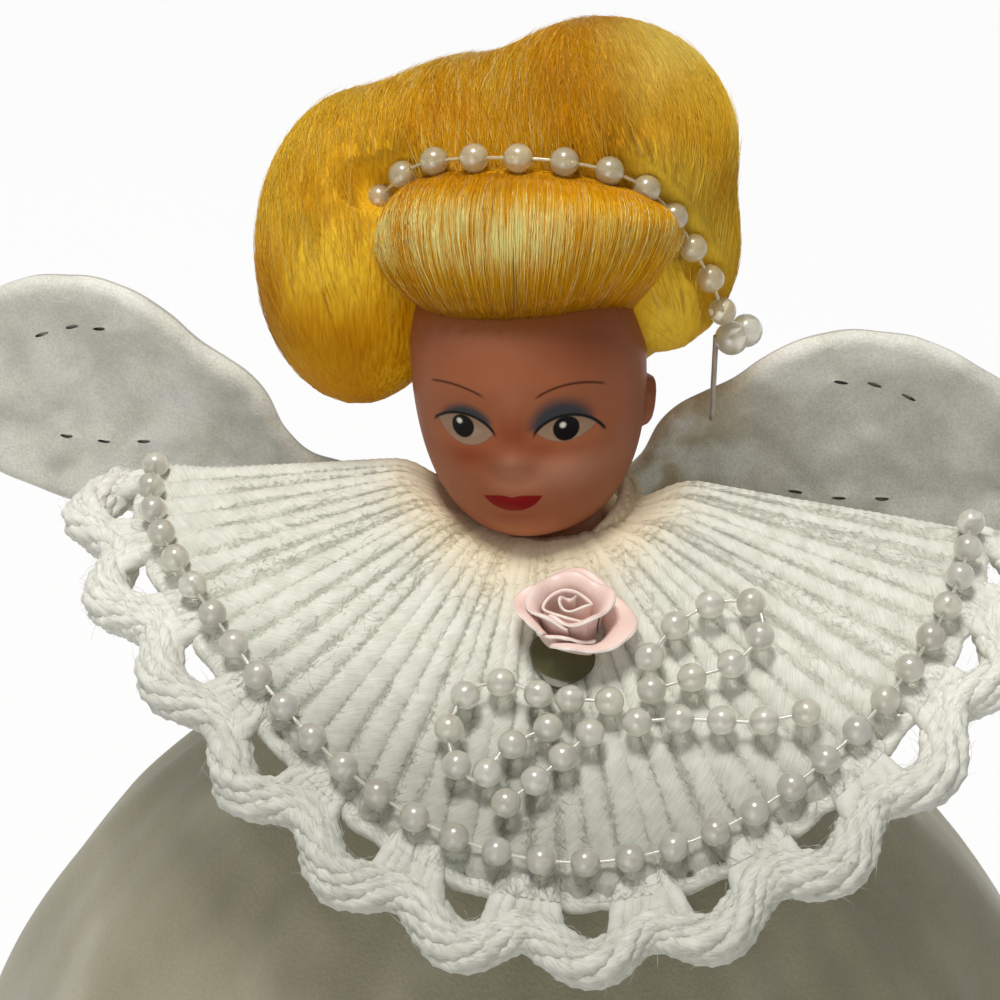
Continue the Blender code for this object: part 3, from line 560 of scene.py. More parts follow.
def satin_finish(name, satin_shade_colour, pale, rim):
    """Satin ribbon: a soft gloss over a fine woven grain, darker low down with painted shade, and a paler
    edge along the top as a painted highlight.
    """
    finish = Finish(name, roughness=0.38, specular=0.4, sheen=0.25, sheen_roughness=0.35)
    weave = finish.specks(1.0, 2.0, finish.where(scale=(5200.0, 5200.0, 1300.0)))
    up = finish.node("SeparateXYZ", {0: finish.node("TexCoord").outputs["UV"]}).outputs[1]
    # painted shade: the ribbon is darker low down, in the folds, and paler up high
    satin = finish.blend(finish.span(up, 0.0, 0.75), satin_shade_colour, pale)
    grain = finish.shades(weave, (0.3, (0.93, 0.93, 0.93)), (0.7, (1.0, 1.0, 1.0)))
    # painted highlight along the top edge of the ribbon
    finish.feed("colour", finish.blend(1.0, finish.blend(finish.span(up, 0.87, 0.96), satin, rim),
                                       grain, "MULTIPLY"))
    finish.raise_by(weave, 0.00005, 0.4)
    return finish


def lace_finish(name, shade, brown):
    """Wing cloth: grey-white with a fine felted grain, pale puffs of painted highlight, and painted brown
    shade towards the head.
    """
    finish = Finish(name, roughness=0.55, specular=0.35, sheen=0.3, sheen_roughness=0.4)
    spot = finish.node("SeparateXYZ", {0: finish.where()})
    near = finish.span(finish.sums("ABSOLUTE", spot.outputs[0]), 0.010, 0.027, 0.85, 0.0)
    # painted light and shade of the puffs: pale where they rise, darker between them
    painted_puff_light = finish.specks(150.0, 3.0)
    grain = finish.specks(3600.0, 3.0)
    tone = finish.shades(painted_puff_light, (0.36, [0.83 * part for part in shade]), (0.55, shade),
                         (0.68, [min(0.94, 1.14 * part) for part in shade]))
    fine = finish.shades(grain, (0.35, (0.84, 0.84, 0.83)), (0.62, (1.0, 1.0, 1.0)))
    # painted brown shade near the head, between the puffs
    painted_shade_tone = finish.blend(finish.sums("MULTIPLY", near, finish.span(painted_puff_light, 0.64, 0.42)), tone, brown)
    finish.feed("colour", finish.blend(1.0, painted_shade_tone, fine, "MULTIPLY"))
    finish.raise_by(finish.sums("ADD", grain, finish.specks(900.0)), 0.00012, 0.5)
    return finish


def skirt_finish():
    """Fine gathered cloth: soft pale streaks down the gathers over a faint weave."""
    finish = Finish("skirt_cloth", roughness=0.62, specular=0.3, sheen=0.35, sheen_roughness=0.4)
    weave = finish.node("TexVoronoi", {"Vector": finish.where(), "Scale": 2600.0}).outputs["Distance"]
    lay = finish.node("Mapping", {"Vector": finish.node("TexCoord").outputs["UV"], "Scale": (95.0, 3.5, 1.0)})
    streaks = finish.sums("ADD", finish.sums("MULTIPLY", finish.specks(1.0, 3.0, lay.outputs[0]), 0.65),
                          finish.sums("MULTIPLY", finish.specks(60.0, 3.0), 0.35))
    tone = finish.shades(streaks, (0.36, (0.285, 0.265, 0.18)), (0.52, (0.395, 0.372, 0.262)),
                         (0.68, (0.62, 0.60, 0.47)))
    fine = finish.shades(weave, (0.15, (1.0, 1.0, 1.0)), (0.75, (0.92, 0.92, 0.91)))
    finish.feed("colour", finish.blend(1.0, tone, fine, "MULTIPLY"))
    finish.raise_by(finish.sums("ADD", weave, finish.specks(420.0)), 0.00012, 0.4)
    return finish


def card_finish():
    finish = Finish("brown_card", roughness=0.9, specular=0.2)
    flecks = finish.specks(900.0, 5.0)
    finish.feed("colour", finish.shades(flecks, (0.32, (0.17, 0.12, 0.07)), (0.6, (0.27, 0.21, 0.14)),
                                        (0.78, (0.36, 0.29, 0.20))))
    finish.raise_by(flecks, 0.0002, 0.5)
    return finish


def wood_finish():
    finish = Finish("bare_wood", roughness=0.7, specular=0.25)
    rings = finish.specks(1.0, 4.0, finish.where(scale=(700.0, 700.0, 60.0)), 0.6)
    finish.feed("colour", finish.shades(rings, (0.3, (0.40, 0.26, 0.13)), (0.7, (0.62, 0.46, 0.28))))
    finish.raise_by(rings, 0.0002, 0.4)
    return finish


def wire_finish():
    finish = Finish("dull_wire", metallic=0.35, roughness=0.42)
    rubbed = finish.specks(1.0, 3.0, finish.where(scale=(2600.0, 2600.0, 500.0)))
    finish.feed("colour", finish.shades(rubbed, (0.3, (0.30, 0.25, 0.20)), (0.75, (0.52, 0.46, 0.40))))
    return finish


def circle_through(first, second, third):
    """Centre and radius of the circle through three flat points."""
    (ax, ay), (bx, by), (cx, cy) = first, second, third
    d = 2.0 * (ax * (by - cy) + bx * (cy - ay) + cx * (ay - by))
    ux = ((ax * ax + ay * ay) * (by - cy) + (bx * bx + by * by) * (cy - ay)
          + (cx * cx + cy * cy) * (ay - by)) / d
    uy = ((ax * ax + ay * ay) * (cx - bx) + (bx * bx + by * by) * (ax - cx)
          + (cx * cx + cy * cy) * (bx - ax)) / d
    return (ux, uy), math.hypot(ax - ux, ay - uy)


def face_finish():
    """Painted vinyl, with painted highlights and painted shade as well as the doll's own paint. Millimetres
    across and up the face place the painted features.
    """
    finish = Finish("painted_vinyl", roughness=0.45, specular=0.12)
    back = SKULL_FRAME.inverted()
    spot = finish.node("SeparateXYZ", {0: finish.where(
        scale=(1000.0,) * 3, turn=tuple(back.to_euler()),
        shift=tuple(1000.0 * part for part in back.to_translation()))})
    x, depth, up = [Field(finish, socket) for socket in spot.outputs]
    front = depth.under(-3.0, 1.0)

    def away(px, py, wide=1.0, tall=1.0):
        """Distance from a point of the face, with its own sizes across and up."""
        return (((x - px) * (1.0 / wide)).square() + ((up - py) * (1.0 / tall)).square()).root()

    def arc(points):
        """Distance outside the circle through three points."""
        (cx, cy), radius = circle_through(*points)
        return away(cx, cy) - radius

    def between(low, high, soft):
        return x.under(high, soft) * (x * -1.0).under(-low, soft)

    skin_patches = finish.specks(150.0, 2.0)
    colour = finish.shades(skin_patches, (0.3, (0.300, 0.094, 0.039)), (0.7, (0.335, 0.112, 0.050)))

    def paint(mask, shade, share=1.0):
        nonlocal colour
        mask = mask * front * share
        colour = finish.blend(mask.socket, colour, shade)

    # blush paint and painted shade together: under the eyes, on the bridge, beside the nose and under the lip
    flush_and_shade = (0.205, 0.038, 0.010)
    for px, py, wide, tall, share in (
            (-4.6, 5.4, 2.9, 1.1, 0.75), (-0.1, 7.6, 1.5, 2.0, 0.70), (2.6, 6.0, 1.6, 0.9, 0.60),
            (5.2, 5.6, 2.4, 0.7, 0.45), (-1.9, 4.6, 0.8, 1.0, 0.40), (1.3, 4.4, 0.7, 0.9, 0.35),
            (-0.4, -0.9, 2.4, 0.6, 0.30)):
        paint(away(px, py, wide, tall).square().hump(), flush_and_shade, share)
    # painted highlight on the left of the forehead and painted shade on its right
    paint(away(-3.6, 17.8, 4.0, 2.2).square().hump(), (0.38, 0.150, 0.084), 0.65)
    paint(away(7.5, 16.0, 4.0, 3.0).square().hump(), (0.215, 0.062, 0.024), 0.55)
    # painted light: the right cheek, above the lip, under the nose, the nose tip and the chin
    paint(away(4.7, 3.5, 3.6, 1.7).square().hump(), (0.47, 0.215, 0.135), 0.75)
    paint(away(0.0, 2.75, 2.6, 0.8).square().hump(), (0.42, 0.175, 0.100), 0.6)
    paint(away(-0.4, 3.75, 1.7, 0.7).square().hump(), (0.42, 0.170, 0.095), 0.6)
    paint(away(-0.4, 5.0, 1.6, 1.1).square().hump(), (0.40, 0.168, 0.095), 0.75)
    paint(away(0.1, -2.6, 3.2, 1.3).square().hump(), (0.44, 0.150, 0.060), 0.75)

    eyes = (
        {"upper": ((-7.75, 8.75), (-5.1, 9.50), (-2.0, 7.85)),
         "lower": ((-7.75, 8.85), (-4.9, 6.45), (-2.0, 7.85)),
         "pupil": (-5.12, 8.22, 1.15), "glint": (-5.45, 8.68, 0.27), "line": (-8.2, -1.85), "floor": 8.35,
         "shadow": ((-7.4, 9.15), (-5.1, 10.50), (-2.2, 9.0)), "reach": (-7.4, -2.1), "fade": (-0.1, 0.5)},
        {"upper": ((1.95, 7.70), (5.10, 9.02), (7.60, 7.75)),
         "lower": ((1.95, 7.80), (4.90, 6.55), (7.60, 7.85)),
         "pupil": (4.78, 7.76, 1.20), "glint": (4.50, 8.10, 0.27), "line": (1.8, 8.4), "floor": 7.85,
         "shadow": ((1.2, 8.7), (4.6, 11.1), (7.5, 9.1)), "reach": (0.9, 7.5), "fade": (-0.42, 0.85)},
    )
    for eye in eyes:
        upper = arc(eye["upper"])
        lower = arc(eye["lower"])
        over = up * -1.0
        middle = eye["upper"][1][1] - 2.2
        above = over.under(-middle, 0.3)
        lids = over.under(-eye["floor"], 0.35)
        shadow = arc(eye["shadow"]).under(*eye["fade"]) * lids * between(*eye["reach"], 0.5)
        paint(shadow, (0.019, 0.037, 0.050), 0.92)
        white = upper.most(lower).under(0.0, 0.10)
        paint(white, (0.31, 0.222, 0.153))
        # painted shade along the edges of the eye white
        paint((upper.most(lower) + 0.45).size().under(0.42, 0.30) * white, (0.215, 0.088, 0.048), 0.35)
        px, py, radius = eye["pupil"]
        ball = away(px, py)
        paint(ball.under(radius, 0.09) * white, (0.004, 0.002, 0.002))
        gx, gy, glint = eye["glint"]
        paint(away(gx, gy).under(glint, 0.14) * white, (0.74, 0.70, 0.64))
        lid = upper.size().under(0.15, 0.10) * above * between(*eye["line"], 0.25)
        paint(lid, (0.004, 0.002, 0.002))
        rim = lower.size().under(0.05, 0.12) * over.under(-4.0, 0.3) * upper.under(0.0, 0.2)
        paint(rim, (0.115, 0.032, 0.015), 0.4)
    for points, reach in (
            (((-8.05, 12.30), (-5.35, 12.32), (-2.90, 11.45)), (-8.1, -2.85)),
            (((2.35, 11.20), (5.5, 12.10), (8.3, 11.40)), (2.3, 8.35))):
        brow = arc(points).size().under(0.11, 0.12) * (up * -1.0).under(-10.5, 0.3)
        paint(brow * between(*reach, 0.35), (0.045, 0.010, 0.004), 0.92)
    # painted shade under the fringe, with a jagged edge along the hairline
    jagged = up + Field(finish, finish.specks(1.0, 2.0, finish.where(scale=(1500.0, 1500.0, 200.0)))) * 2.0
    paint((jagged * -1.0).under(-18.3, 0.9), (0.27, 0.076, 0.008), 0.7)
    (cx, cy), radius = circle_through((-3.60, 1.40), (-0.75, -0.22), (2.15, 1.20))
    bow = (x + 0.65).square()
    top = up + bow * 0.030 + (bow * 3.3).hump() * 0.19
    lips = (away(cx, cy) - radius).under(0.0, 0.09) * top.under(1.60, 0.08)
    paint(lips, (0.205, 0.0012, 0.0008))
    finish.feed("colour", colour)
    finish.raise_by(finish.specks(2600.0, 2.0), 0.00003, 0.35)
    return finish


# the last colour of each yarn is the painted shade that greys it towards the front
YARN = yarn_finish("white_yarn", (0.885, 0.895, 0.80), (0.92, 0.80, 0.56), (24.0, 60.0),
                   (0.60, 0.605, 0.59))
CROCHET = yarn_finish("crochet_yarn", (0.95, 0.955, 0.875), (0.80, 0.77, 0.64), (130.0, 22.0),
                      (0.76, 0.765, 0.755))
PEARL = pearl_finish()
GOLD = hair_finish("golden_hair", (0.68, 0.29, 0.001), (0.83, 0.45, 0.006), (0.94, 0.66, 0.06))
FRINGE_GOLD = hair_finish("golden_fringe", (0.76, 0.31, 0.001), (0.86, 0.44, 0.003), (0.95, 0.64, 0.03),
                          rolled=True)
HAIR_BED = hair_bed_finish()
PINK = satin_finish("pink_satin", (0.95, 0.72, 0.65), (0.98, 0.89, 0.84), (0.98, 0.93, 0.88))
# pale tubes on the petals' top edges: painted highlight on the rims
RIBBON_EDGE_HIGHLIGHT = satin_finish("ribbon_edge_painted_highlight", (0.95, 0.87, 0.81), (0.96, 0.90, 0.84), (0.96, 0.90, 0.84))
GREEN = satin_finish("green_satin", (0.085, 0.078, 0.026), (0.205, 0.188, 0.090), (0.22, 0.20, 0.10))
LACE = lace_finish("wing_cloth", (0.86, 0.865, 0.775), (0.46, 0.34, 0.16))
# the lining is the wing's back face; its darker grey is painted shade, which the eyelets show as dark slots
SHADED_LINING = lace_finish("shaded_wing_lining", (0.66, 0.655, 0.59), (0.30, 0.24, 0.14))
CLOTH = skirt_finish()
CARD = card_finish()
WOOD = wood_finish()
WIRE = wire_finish()
VINYL = face_finish()

ROUND = section("round_section", 10)
FIBRE = section("fibre_section", 3)
PLIED = section("plied_section", 24, 3, 0.018)
TWIST = section("twist_section", 18, 3, 0.12)


def pearl_strand(name, route, pitch, radius, body):
    """Pearls moulded on one thread at an even pitch."""
    path = smooth_path(route)
    length = path_length(path)
    count = max(2, round(length / pitch) + 1)
    bm = bmesh.new()
    for index in range(count):
        distance = length * index / (count - 1)
        centre = along(path, distance)
        heading = along(path, min(length, distance + 0.0004)) - along(path, max(0.0, distance - 0.0004))
        turn = heading.to_track_quat("Z", "Y").to_matrix().to_4x4()
        bmesh.ops.create_uvsphere(bm, u_segments=20, v_segments=13, radius=radius,
                                  matrix=Matrix.Translation(centre) @ turn)
    thread = tubes_mesh(f"{name}_thread", ROUND, [(path, [THREAD_RADIUS] * len(path))])
    bm.from_mesh(thread)
    bpy.data.meshes.remove(thread)
    return link_piece(f"{name}_beads", mesh_from(bm, name), PEARL, body, [name])


def make_pearls():
    route = []
    for index in range(25):
        angle = CAPE_STRAND_HALF_ANGLE * (2.0 * index / 24 - 1.0)
        route.append(cape_point(CAPE_STRAND_RADIUS, angle, CAPE_CREST + PEARL_RADIUS))
    pearl_strand("cape_pearls", route, 0.0041, PEARL_RADIUS, "gown")
    for name, plan in BOW_ROUTES.items():
        pearl_strand(name, [over_cape(x, y, BOW_LIFT) for x, y in plan], 0.0038, PEARL_RADIUS, "gown")
    band = [HAIR_FRAME @ Vector(point) for point in HEADBAND_ROUTE]
    pearl_strand("headband_pearls", band, 0.0042, PEARL_RADIUS, "head")
    ends = [HAIR_FRAME @ Vector(point) for point in END_PEARLS]
    pearl_strand("headband_end_pearls", ends, (ends[1] - ends[0]).length, 0.0017, "head")
    for number in range(1, 7):
        name = f"skirt_pearl_{number}"
        low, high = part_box(name)
        bm = bmesh.new()
        bmesh.ops.create_uvsphere(bm, u_segments=20, v_segments=13, radius=(high.z - low.z) / 2,
                                  matrix=Matrix.Translation((low + high) / 2))
        link_piece(f"{name}_bead", mesh_from(bm, name), PEARL, "gown", [name])


def make_cape():
    """Ribs of soft yarn that fan out from the neck and lie close together."""
    ribs = []
    steps = 40
    for rib in range(CAPE_RIBS):
        angle = CAPE_HALF_ANGLE * (2.0 * (rib + 0.5) / CAPE_RIBS - 1.0)
        points, radii, tilts = [], [], []
        phase = dice.uniform(0.0, 6.0)
        plump = dice.uniform(0.92, 1.06)
        drift = dice.uniform(-0.008, 0.008)
        sunk = dice.uniform(0.0, 0.0003)
        for step in range(steps + 1):
            share = step / steps
            radius = CAPE_INNER_RADIUS - 0.0006 + (CAPE_RADIUS - CAPE_INNER_RADIUS + 0.0006) * share
            sway = drift * math.sin(math.pi * share) + 0.0016 * math.sin(9.0 * share + phase)
            gap = 2 * CAPE_HALF_ANGLE / CAPE_RIBS * radius * cape_stretch(angle)
            flatter = max(0.0, -math.sin(angle)) ** 4
            thick = max(0.00105, (0.80 + 0.08 * flatter) * gap) * plump
            thick *= 1.0 + 0.04 * math.sin(17.0 * share + 2.0 * phase)
            closing = min(1.0, (1.0 - share) * 12.0 + 0.3)
            points.append(cape_point(radius, angle + sway, CAPE_CREST - sunk - min(thick, 0.0022)))
            radii.append(thick * closing)
            tilts.append(phase + 2 * math.pi * radius / 0.0085)
        ribs.append((points, radii, tilts))
    link_piece("yarn_cape", tubes_mesh("yarn_cape", PLIED, ribs), YARN, "gown", ["cape"])


def make_cape_fuzz():
    """Loose fibres brushed out of the yarn, longest round the neck, where they close up to it."""
    for side, low, high in (("left", -1.0, 0.05), ("right", -0.05, 1.0)):
        hairs = []
        for _ in range(CAPE_SIDE_FIBRES):
            share = dice.random() ** 1.3
            radius = CAPE_INNER_RADIUS + 0.0018 + (CAPE_RADIUS - CAPE_INNER_RADIUS - 0.0018) * share
            angle = dice.uniform(low, high) * CAPE_HALF_ANGLE * 0.985
            inside = min(1.0, 6.0 * (1.0 - abs(angle) / CAPE_HALF_ANGLE))
            brushed = max(0.0, 1.0 - share * 3.0) * inside
            length = dice.uniform(0.0014, 0.0036) + 0.0016 * brushed
            heading = dice.gauss(0.0, 0.25 + 0.4 * brushed)
            rise = dice.uniform(0.0000, 0.00015) + dice.random() ** 5 * (0.0003 * inside + 0.0002 * brushed)
            curl = dice.gauss(0.0, 0.6)
            points = []
            for step in range(4):
                run = length * step / 3
                bend = heading + curl * step / 3
                r = radius + run * math.cos(bend)
                a = angle + run * math.sin(bend) / radius
                a = min(max(a, -0.98 * CAPE_HALF_ANGLE), 0.98 * CAPE_HALF_ANGLE)
                lift = CAPE_CREST - 0.0004 + rise * math.sin(math.pi * 0.8 * step / 3)
                points.append(cape_point(min(r, CAPE_RADIUS + 0.001), a, lift))
            hairs.append((points, [0.000012, 0.000021, 0.000019, 0.000007]))
        mesh = tubes_mesh(f"cape_fuzz_{side}", FIBRE, hairs)
        link_piece(f"cape_fuzz_{side}", mesh, YARN, "gown")

    low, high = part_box("neck_roll")
    hairs = []
    for _ in range(NECK_FIBRES):
        angle = dice.uniform(-1.35, 1.45)
        radius = dice.uniform(0.0084, 0.0112)
        heading = dice.gauss(0.0, 0.8)
        length = dice.uniform(0.0010, 0.0026)
        rise = dice.uniform(0.0000, 0.0003 + 0.0006 * max(0.0, math.cos(angle)))
        points = []
        for step in range(4):
            run = length * step / 3
            r = max(0.0080, radius + run * math.cos(heading))
            a = angle + run * math.sin(heading) / radius
            lift = rise * math.sin(math.pi * 0.75 * step / 3) - 0.0003 * step
            points.append((r * math.sin(a), -r * math.cos(a), high.z - 0.0003 + lift))
        hairs.append((points, [0.000014, 0.000024, 0.000022, 0.000008]))
    link_piece("neck_fuzz", tubes_mesh("neck_fuzz", FIBRE, hairs), YARN, "gown")


def edging_radius(share):
    """Distance of the crocheted cord's middle from the cape's centre."""
    arch = 0.5 - 0.5 * math.cos(2 * math.pi * EDGING_ARCHES * share)
    return CAPE_RADIUS + EDGING_RADIUS + 2 * CLEARANCE + EDGING_ARCH_DEPTH * arch


def make_edging():
    """A thick crocheted cord of loosely laid strands, in arches, with stitches that hold it."""
    count = EDGING_ARCHES * 14
    middle, arches, travelled = [], [], [0.0]
    for index in range(count + 1):
        share = index / count
        angle = CAPE_HALF_ANGLE * (2.0 * share - 1.0)
        middle.append(cape_point(edging_radius(share), angle, 0.0003 * math.sin(40.0 * share)))
        arches.append(0.5 - 0.5 * math.cos(2 * math.pi * EDGING_ARCHES * share))
        if index:
            travelled.append(travelled[-1] + (middle[-1] - middle[-2]).length)
    strands = []
    hairs = []
    for strand in range(8):
        points, radii, tilts = [], [], []
        for index, centre in enumerate(middle):
            heading = (middle[min(index + 1, count)] - middle[max(index - 1, 0)]).normalized()
            outward = heading.cross(Vector((0.0, 0.0, 1.0))).normalized()
            upward = outward.cross(heading)
            turn = 2 * math.pi * (travelled[index] / 0.024 + strand / 8)
            wide = 0.00138 * (0.92 + 0.22 * arches[index])
            wander = 1.0 + 0.12 * math.sin(0.37 * index + 1.9 * strand)
            spot = centre + wide * wander * (math.cos(turn) * outward + math.sin(turn) * upward)
            points.append(spot)
            radii.append(0.00092 * (1.0 + 0.12 * math.sin(0.23 * index + 2.3 * strand)))
            tilts.append(2 * math.pi * travelled[index] / 0.0075)
            for _ in range(5):
                start = spot + 0.0005 * Vector((dice.gauss(0, 1), dice.gauss(0, 1), dice.uniform(0.3, 1.5)))
                way = (heading * dice.choice((-1, 1)) + 0.32 * Vector((dice.gauss(0, 1), dice.gauss(0, 1),
                                                                     dice.gauss(0, 0.7)))).normalized()
                lift = Vector((0.0, 0.0, dice.uniform(0.0, 0.0005)))
                reach = dice.uniform(0.0010, 0.0026)
                hairs.append(([start, start + way * reach * 0.5 + lift, start + way * reach],
                              [0.000014, 0.000022, 0.000008]))
        strands.append((points, radii, tilts))
    link_piece("crochet_edging", tubes_mesh("crochet_edging", TWIST, strands), CROCHET, "gown",
               ["cape_edging"])
    link_piece("edging_fuzz", tubes_mesh("edging_fuzz", FIBRE, hairs), CROCHET, "gown")

    stitches = []
    for post in range(EDGING_ARCHES + 1):
        for lean in (-3, -2, -1, 0, 1, 2, 3):
            angle = CAPE_HALF_ANGLE * (2.0 * post / EDGING_ARCHES - 1.0) + 0.0235 * lean
            share = 0.5 * (angle / CAPE_HALF_ANGLE + 1.0)
            if not 0.0 <= share <= 1.0:
                continue
            inner = cape_point(CAPE_RADIUS - 0.0018, angle - 0.010 * lean + dice.gauss(0.0, 0.004), 0.0008)
            outer = cape_point(edging_radius(share) - 0.0002, angle + dice.gauss(0.0, 0.006), 0.0004)
            path = [inner.lerp(outer, step / 8) + Vector((0, 0, 0.0004 * math.sin(math.pi * step / 8)))
                    for step in range(9)]
            stitches.append((path, [0.00098] * 9, [0.5 * step for step in range(9)]))
    chain, radii, tilts = [], [], []
    for index in range(EDGING_ARCHES * 16 + 1):
        share = index / (EDGING_ARCHES * 16)
        angle = CAPE_HALF_ANGLE * (2.0 * share - 1.0)
        wave = 0.0002 * math.sin(2 * math.pi * EDGING_ARCHES * 3 * share)
        chain.append(cape_point(CAPE_RADIUS + wave, angle, 0.0004))
        radii.append(0.0009 * (1.0 + 0.14 * math.sin(2 * math.pi * EDGING_ARCHES * 4 * share)))
        tilts.append(0.45 * index)
    stitches.append((chain, radii, tilts))
    link_piece("edging_stitches", tubes_mesh("edging_stitches", TWIST, stitches), CROCHET, "gown")


def make_neck_roll():
    """The roll under the cape's inner edge, and a fuzzy strand that closes the collar on the right."""
    ring = CAPE_INNER_RADIUS + 0.00085
    low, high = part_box("neck_roll")
    points, radii, tilts = [], [], []
    for index in range(72):
        angle = 2 * math.pi * index / 72
        points.append((ring * math.cos(angle), ring * math.sin(angle), (low.z + high.z) / 2))
        radii.append(0.0017 * (1.0 + 0.05 * math.sin(7 * angle)))
        tilts.append(9 * angle / 3)
    mesh = tubes_mesh("neck_yarn", PLIED, [(points, radii, tilts)], closed=True)
    link_piece("neck_yarn", mesh, YARN, "gown", ["neck_roll"])
    points, radii, tilts = [], [], []
    for index in range(41):
        share = index / 40
        angle = math.radians(38 + 92 * share)
        full = math.sin(math.pi * (0.04 + 0.92 * share)) ** 0.6
        points.append((COLLAR_RADIUS * math.sin(angle), -COLLAR_RADIUS * math.cos(angle),
                       NECK_Z - 0.0042 + 0.0016 * full))
        radii.append(0.0004 + 0.0005 * full)
        tilts.append(0.3 * index)
    mesh = tubes_mesh("collar_strand", PLIED, [(points, radii, tilts)])
    link_piece("collar_strand", mesh, YARN, "gown")
    hairs = []
    for _ in range(COLLAR_FIBRES):
        index = dice.randrange(2, 38)
        spot, thick = Vector(points[index]), radii[index]
        outward = Vector((spot.x, spot.y, 0.0)).normalized()
        ahead = Vector((-outward.y, outward.x, 0.0))
        turn = dice.uniform(-0.4, 2.2)
        start = spot + thick * (math.cos(turn) * outward + math.sin(turn) * Vector((0.0, 0.0, 1.0)))
        way = 0.8 * outward + dice.gauss(0.0, 0.7) * ahead + Vector((0.0, 0.0, dice.uniform(-0.9, 0.1)))
        reach = dice.uniform(0.0006, 0.0018)
        hairs.append(([start, start + 0.5 * reach * way, start + reach * way - Vector((0.0, 0.0, 0.0002))],
                      [0.000016, 0.000022, 0.000008]))
    link_piece("collar_fuzz", tubes_mesh("collar_fuzz", FIBRE, hairs), YARN, "gown")


def make_rose():
    """A ribbon rose that stands upright on the sloping cape: a loose heart in a cup, then outer petals."""
    seat = (Matrix.Translation(over_cape(ROSE_X - 0.0005, ROSE_Y - 0.0024, 0.0))
            @ Matrix.Rotation(math.radians(6), 4, "X"))
    cape_rise = math.tan(math.radians(22))

    def heart(across, up):
        turn = 2 * math.pi * 1.75 * across + 0.6
        radius = 0.0004 + 0.0022 * across
        y = 0.86 * radius * math.sin(turn)
        foot = cape_rise * y - 0.0004
        rim = 0.0046 - 0.0007 * across + 0.00035 * math.sin(2.5 * turn)
        x = 1.12 * radius * math.cos(turn) * (1.0 + 0.12 * up * up)
        return seat @ Vector((x, y, foot + (rim - foot) * up))

    mesh = shaped_grid("rose_bud", 130, 14, heart, 0.00018)
    link_piece("rose_bud", mesh, PINK, "gown", ["rose_heart"])

    bm = bmesh.new()
    rims = []
    for middle, spread, foot_radius, rim_radius, height, phase in (
            (70, 400, 0.0024, 0.0039, 0.0046, 0.0), (75, 130, 0.0029, 0.0047, 0.0044, 1.0),
            (184, 110, 0.0029, 0.0052, 0.0038, 2.0), (245, 130, 0.0030, 0.0039, 0.0026, 4.0),
            (332, 160, 0.0031, 0.0060, 0.0025, 3.0)):
        def petal(across, up):
            turn = math.radians(middle + spread * (across - 0.5))
            side = abs(2.0 * across - 1.0)
            opened = up ** 1.9 * (1.0 - 0.45 * side ** 3)
            radius = foot_radius + 0.0006 * (across - 0.5) + (rim_radius - foot_radius) * opened
            radius += 0.00022 * math.sin(4.0 * turn + phase) * up
            y = 0.92 * radius * math.sin(turn)
            foot = cape_rise * 0.92 * foot_radius * math.sin(turn) - 0.0005
            rim = height * (1.0 - 0.16 * side ** 4) + 0.00028 * math.sin(5.0 * turn + phase)
            return seat @ Vector((1.04 * radius * math.cos(turn), y,
                                  foot + (rim - foot) * math.sin(0.5 * math.pi * up ** 0.9)))

        mesh = shaped_grid("petal", 64, 20, petal, 0.00018)
        bm.from_mesh(mesh)
        bpy.data.meshes.remove(mesh)
        # pale rim along each petal's top edge: painted highlight
        edge = [petal(step / 48, 0.99) for step in range(49)]
        rims.append((edge, [0.00014 + 0.00004 * math.sin(0.9 * step + phase) for step in range(49)]))
    link_piece("rose_ribbon", mesh_from(bm, "rose_ribbon"), PINK, "gown", ["rose_petals"])
    rims.append(([heart(step / 60, 0.985) for step in range(61)], [0.00011] * 61))
    link_piece("rose_ribbon_edge", tubes_mesh("rose_rims", ROUND, rims), RIBBON_EDGE_HIGHLIGHT, "gown")

    def leaf(across, down):
        width = 0.0062 * math.sin(math.pi * (0.22 + 0.75 * down)) ** 0.9
        flat = Vector((-0.0002 + width * (across - 0.5), -0.0030 - 0.0049 * down, 0.0))
        flat = Matrix.Rotation(math.radians(-10), 3, "Z") @ flat
        keel = 0.0011 * math.sin(math.pi * across) * math.sin(math.pi * min(1.0, 1.2 * down))
        return over_cape(ROSE_X + flat.x, ROSE_Y + flat.y, CLEARANCE + 0.0002 + keel)

    mesh = shaped_grid("satin_leaf", 28, 30, leaf, 0.0002)
    link_piece("satin_leaf", mesh, GREEN, "gown", ["rose_leaf"])


def skirt_radius(drop, column):
    """Radius of a skirt row at a drop, on a smooth curve through the rows."""
    rows = SKIRT_ROWS
    last = len(rows) - 1
    index = max(i for i in range(last) if rows[i][0] <= drop or i == 0)
    before, start, end, after = [rows[min(max(index + shift, 0), last)] for shift in (-1, 0, 1, 2)]
    t = (drop - start[0]) / (end[0] - start[0])
    slope_in = (end[column] - before[column]) / (end[0] - before[0]) * (end[0] - start[0])
    slope_out = (after[column] - start[column]) / (after[0] - start[0]) * (end[0] - start[0])
    if index == 0:
        slope_in = slope_out = 0.0
    return ((2 * t ** 3 - 3 * t ** 2 + 1) * start[column] + (t ** 3 - 2 * t ** 2 + t) * slope_in
            + (3 * t ** 2 - 2 * t ** 3) * end[column] + (t ** 3 - t ** 2) * slope_out)


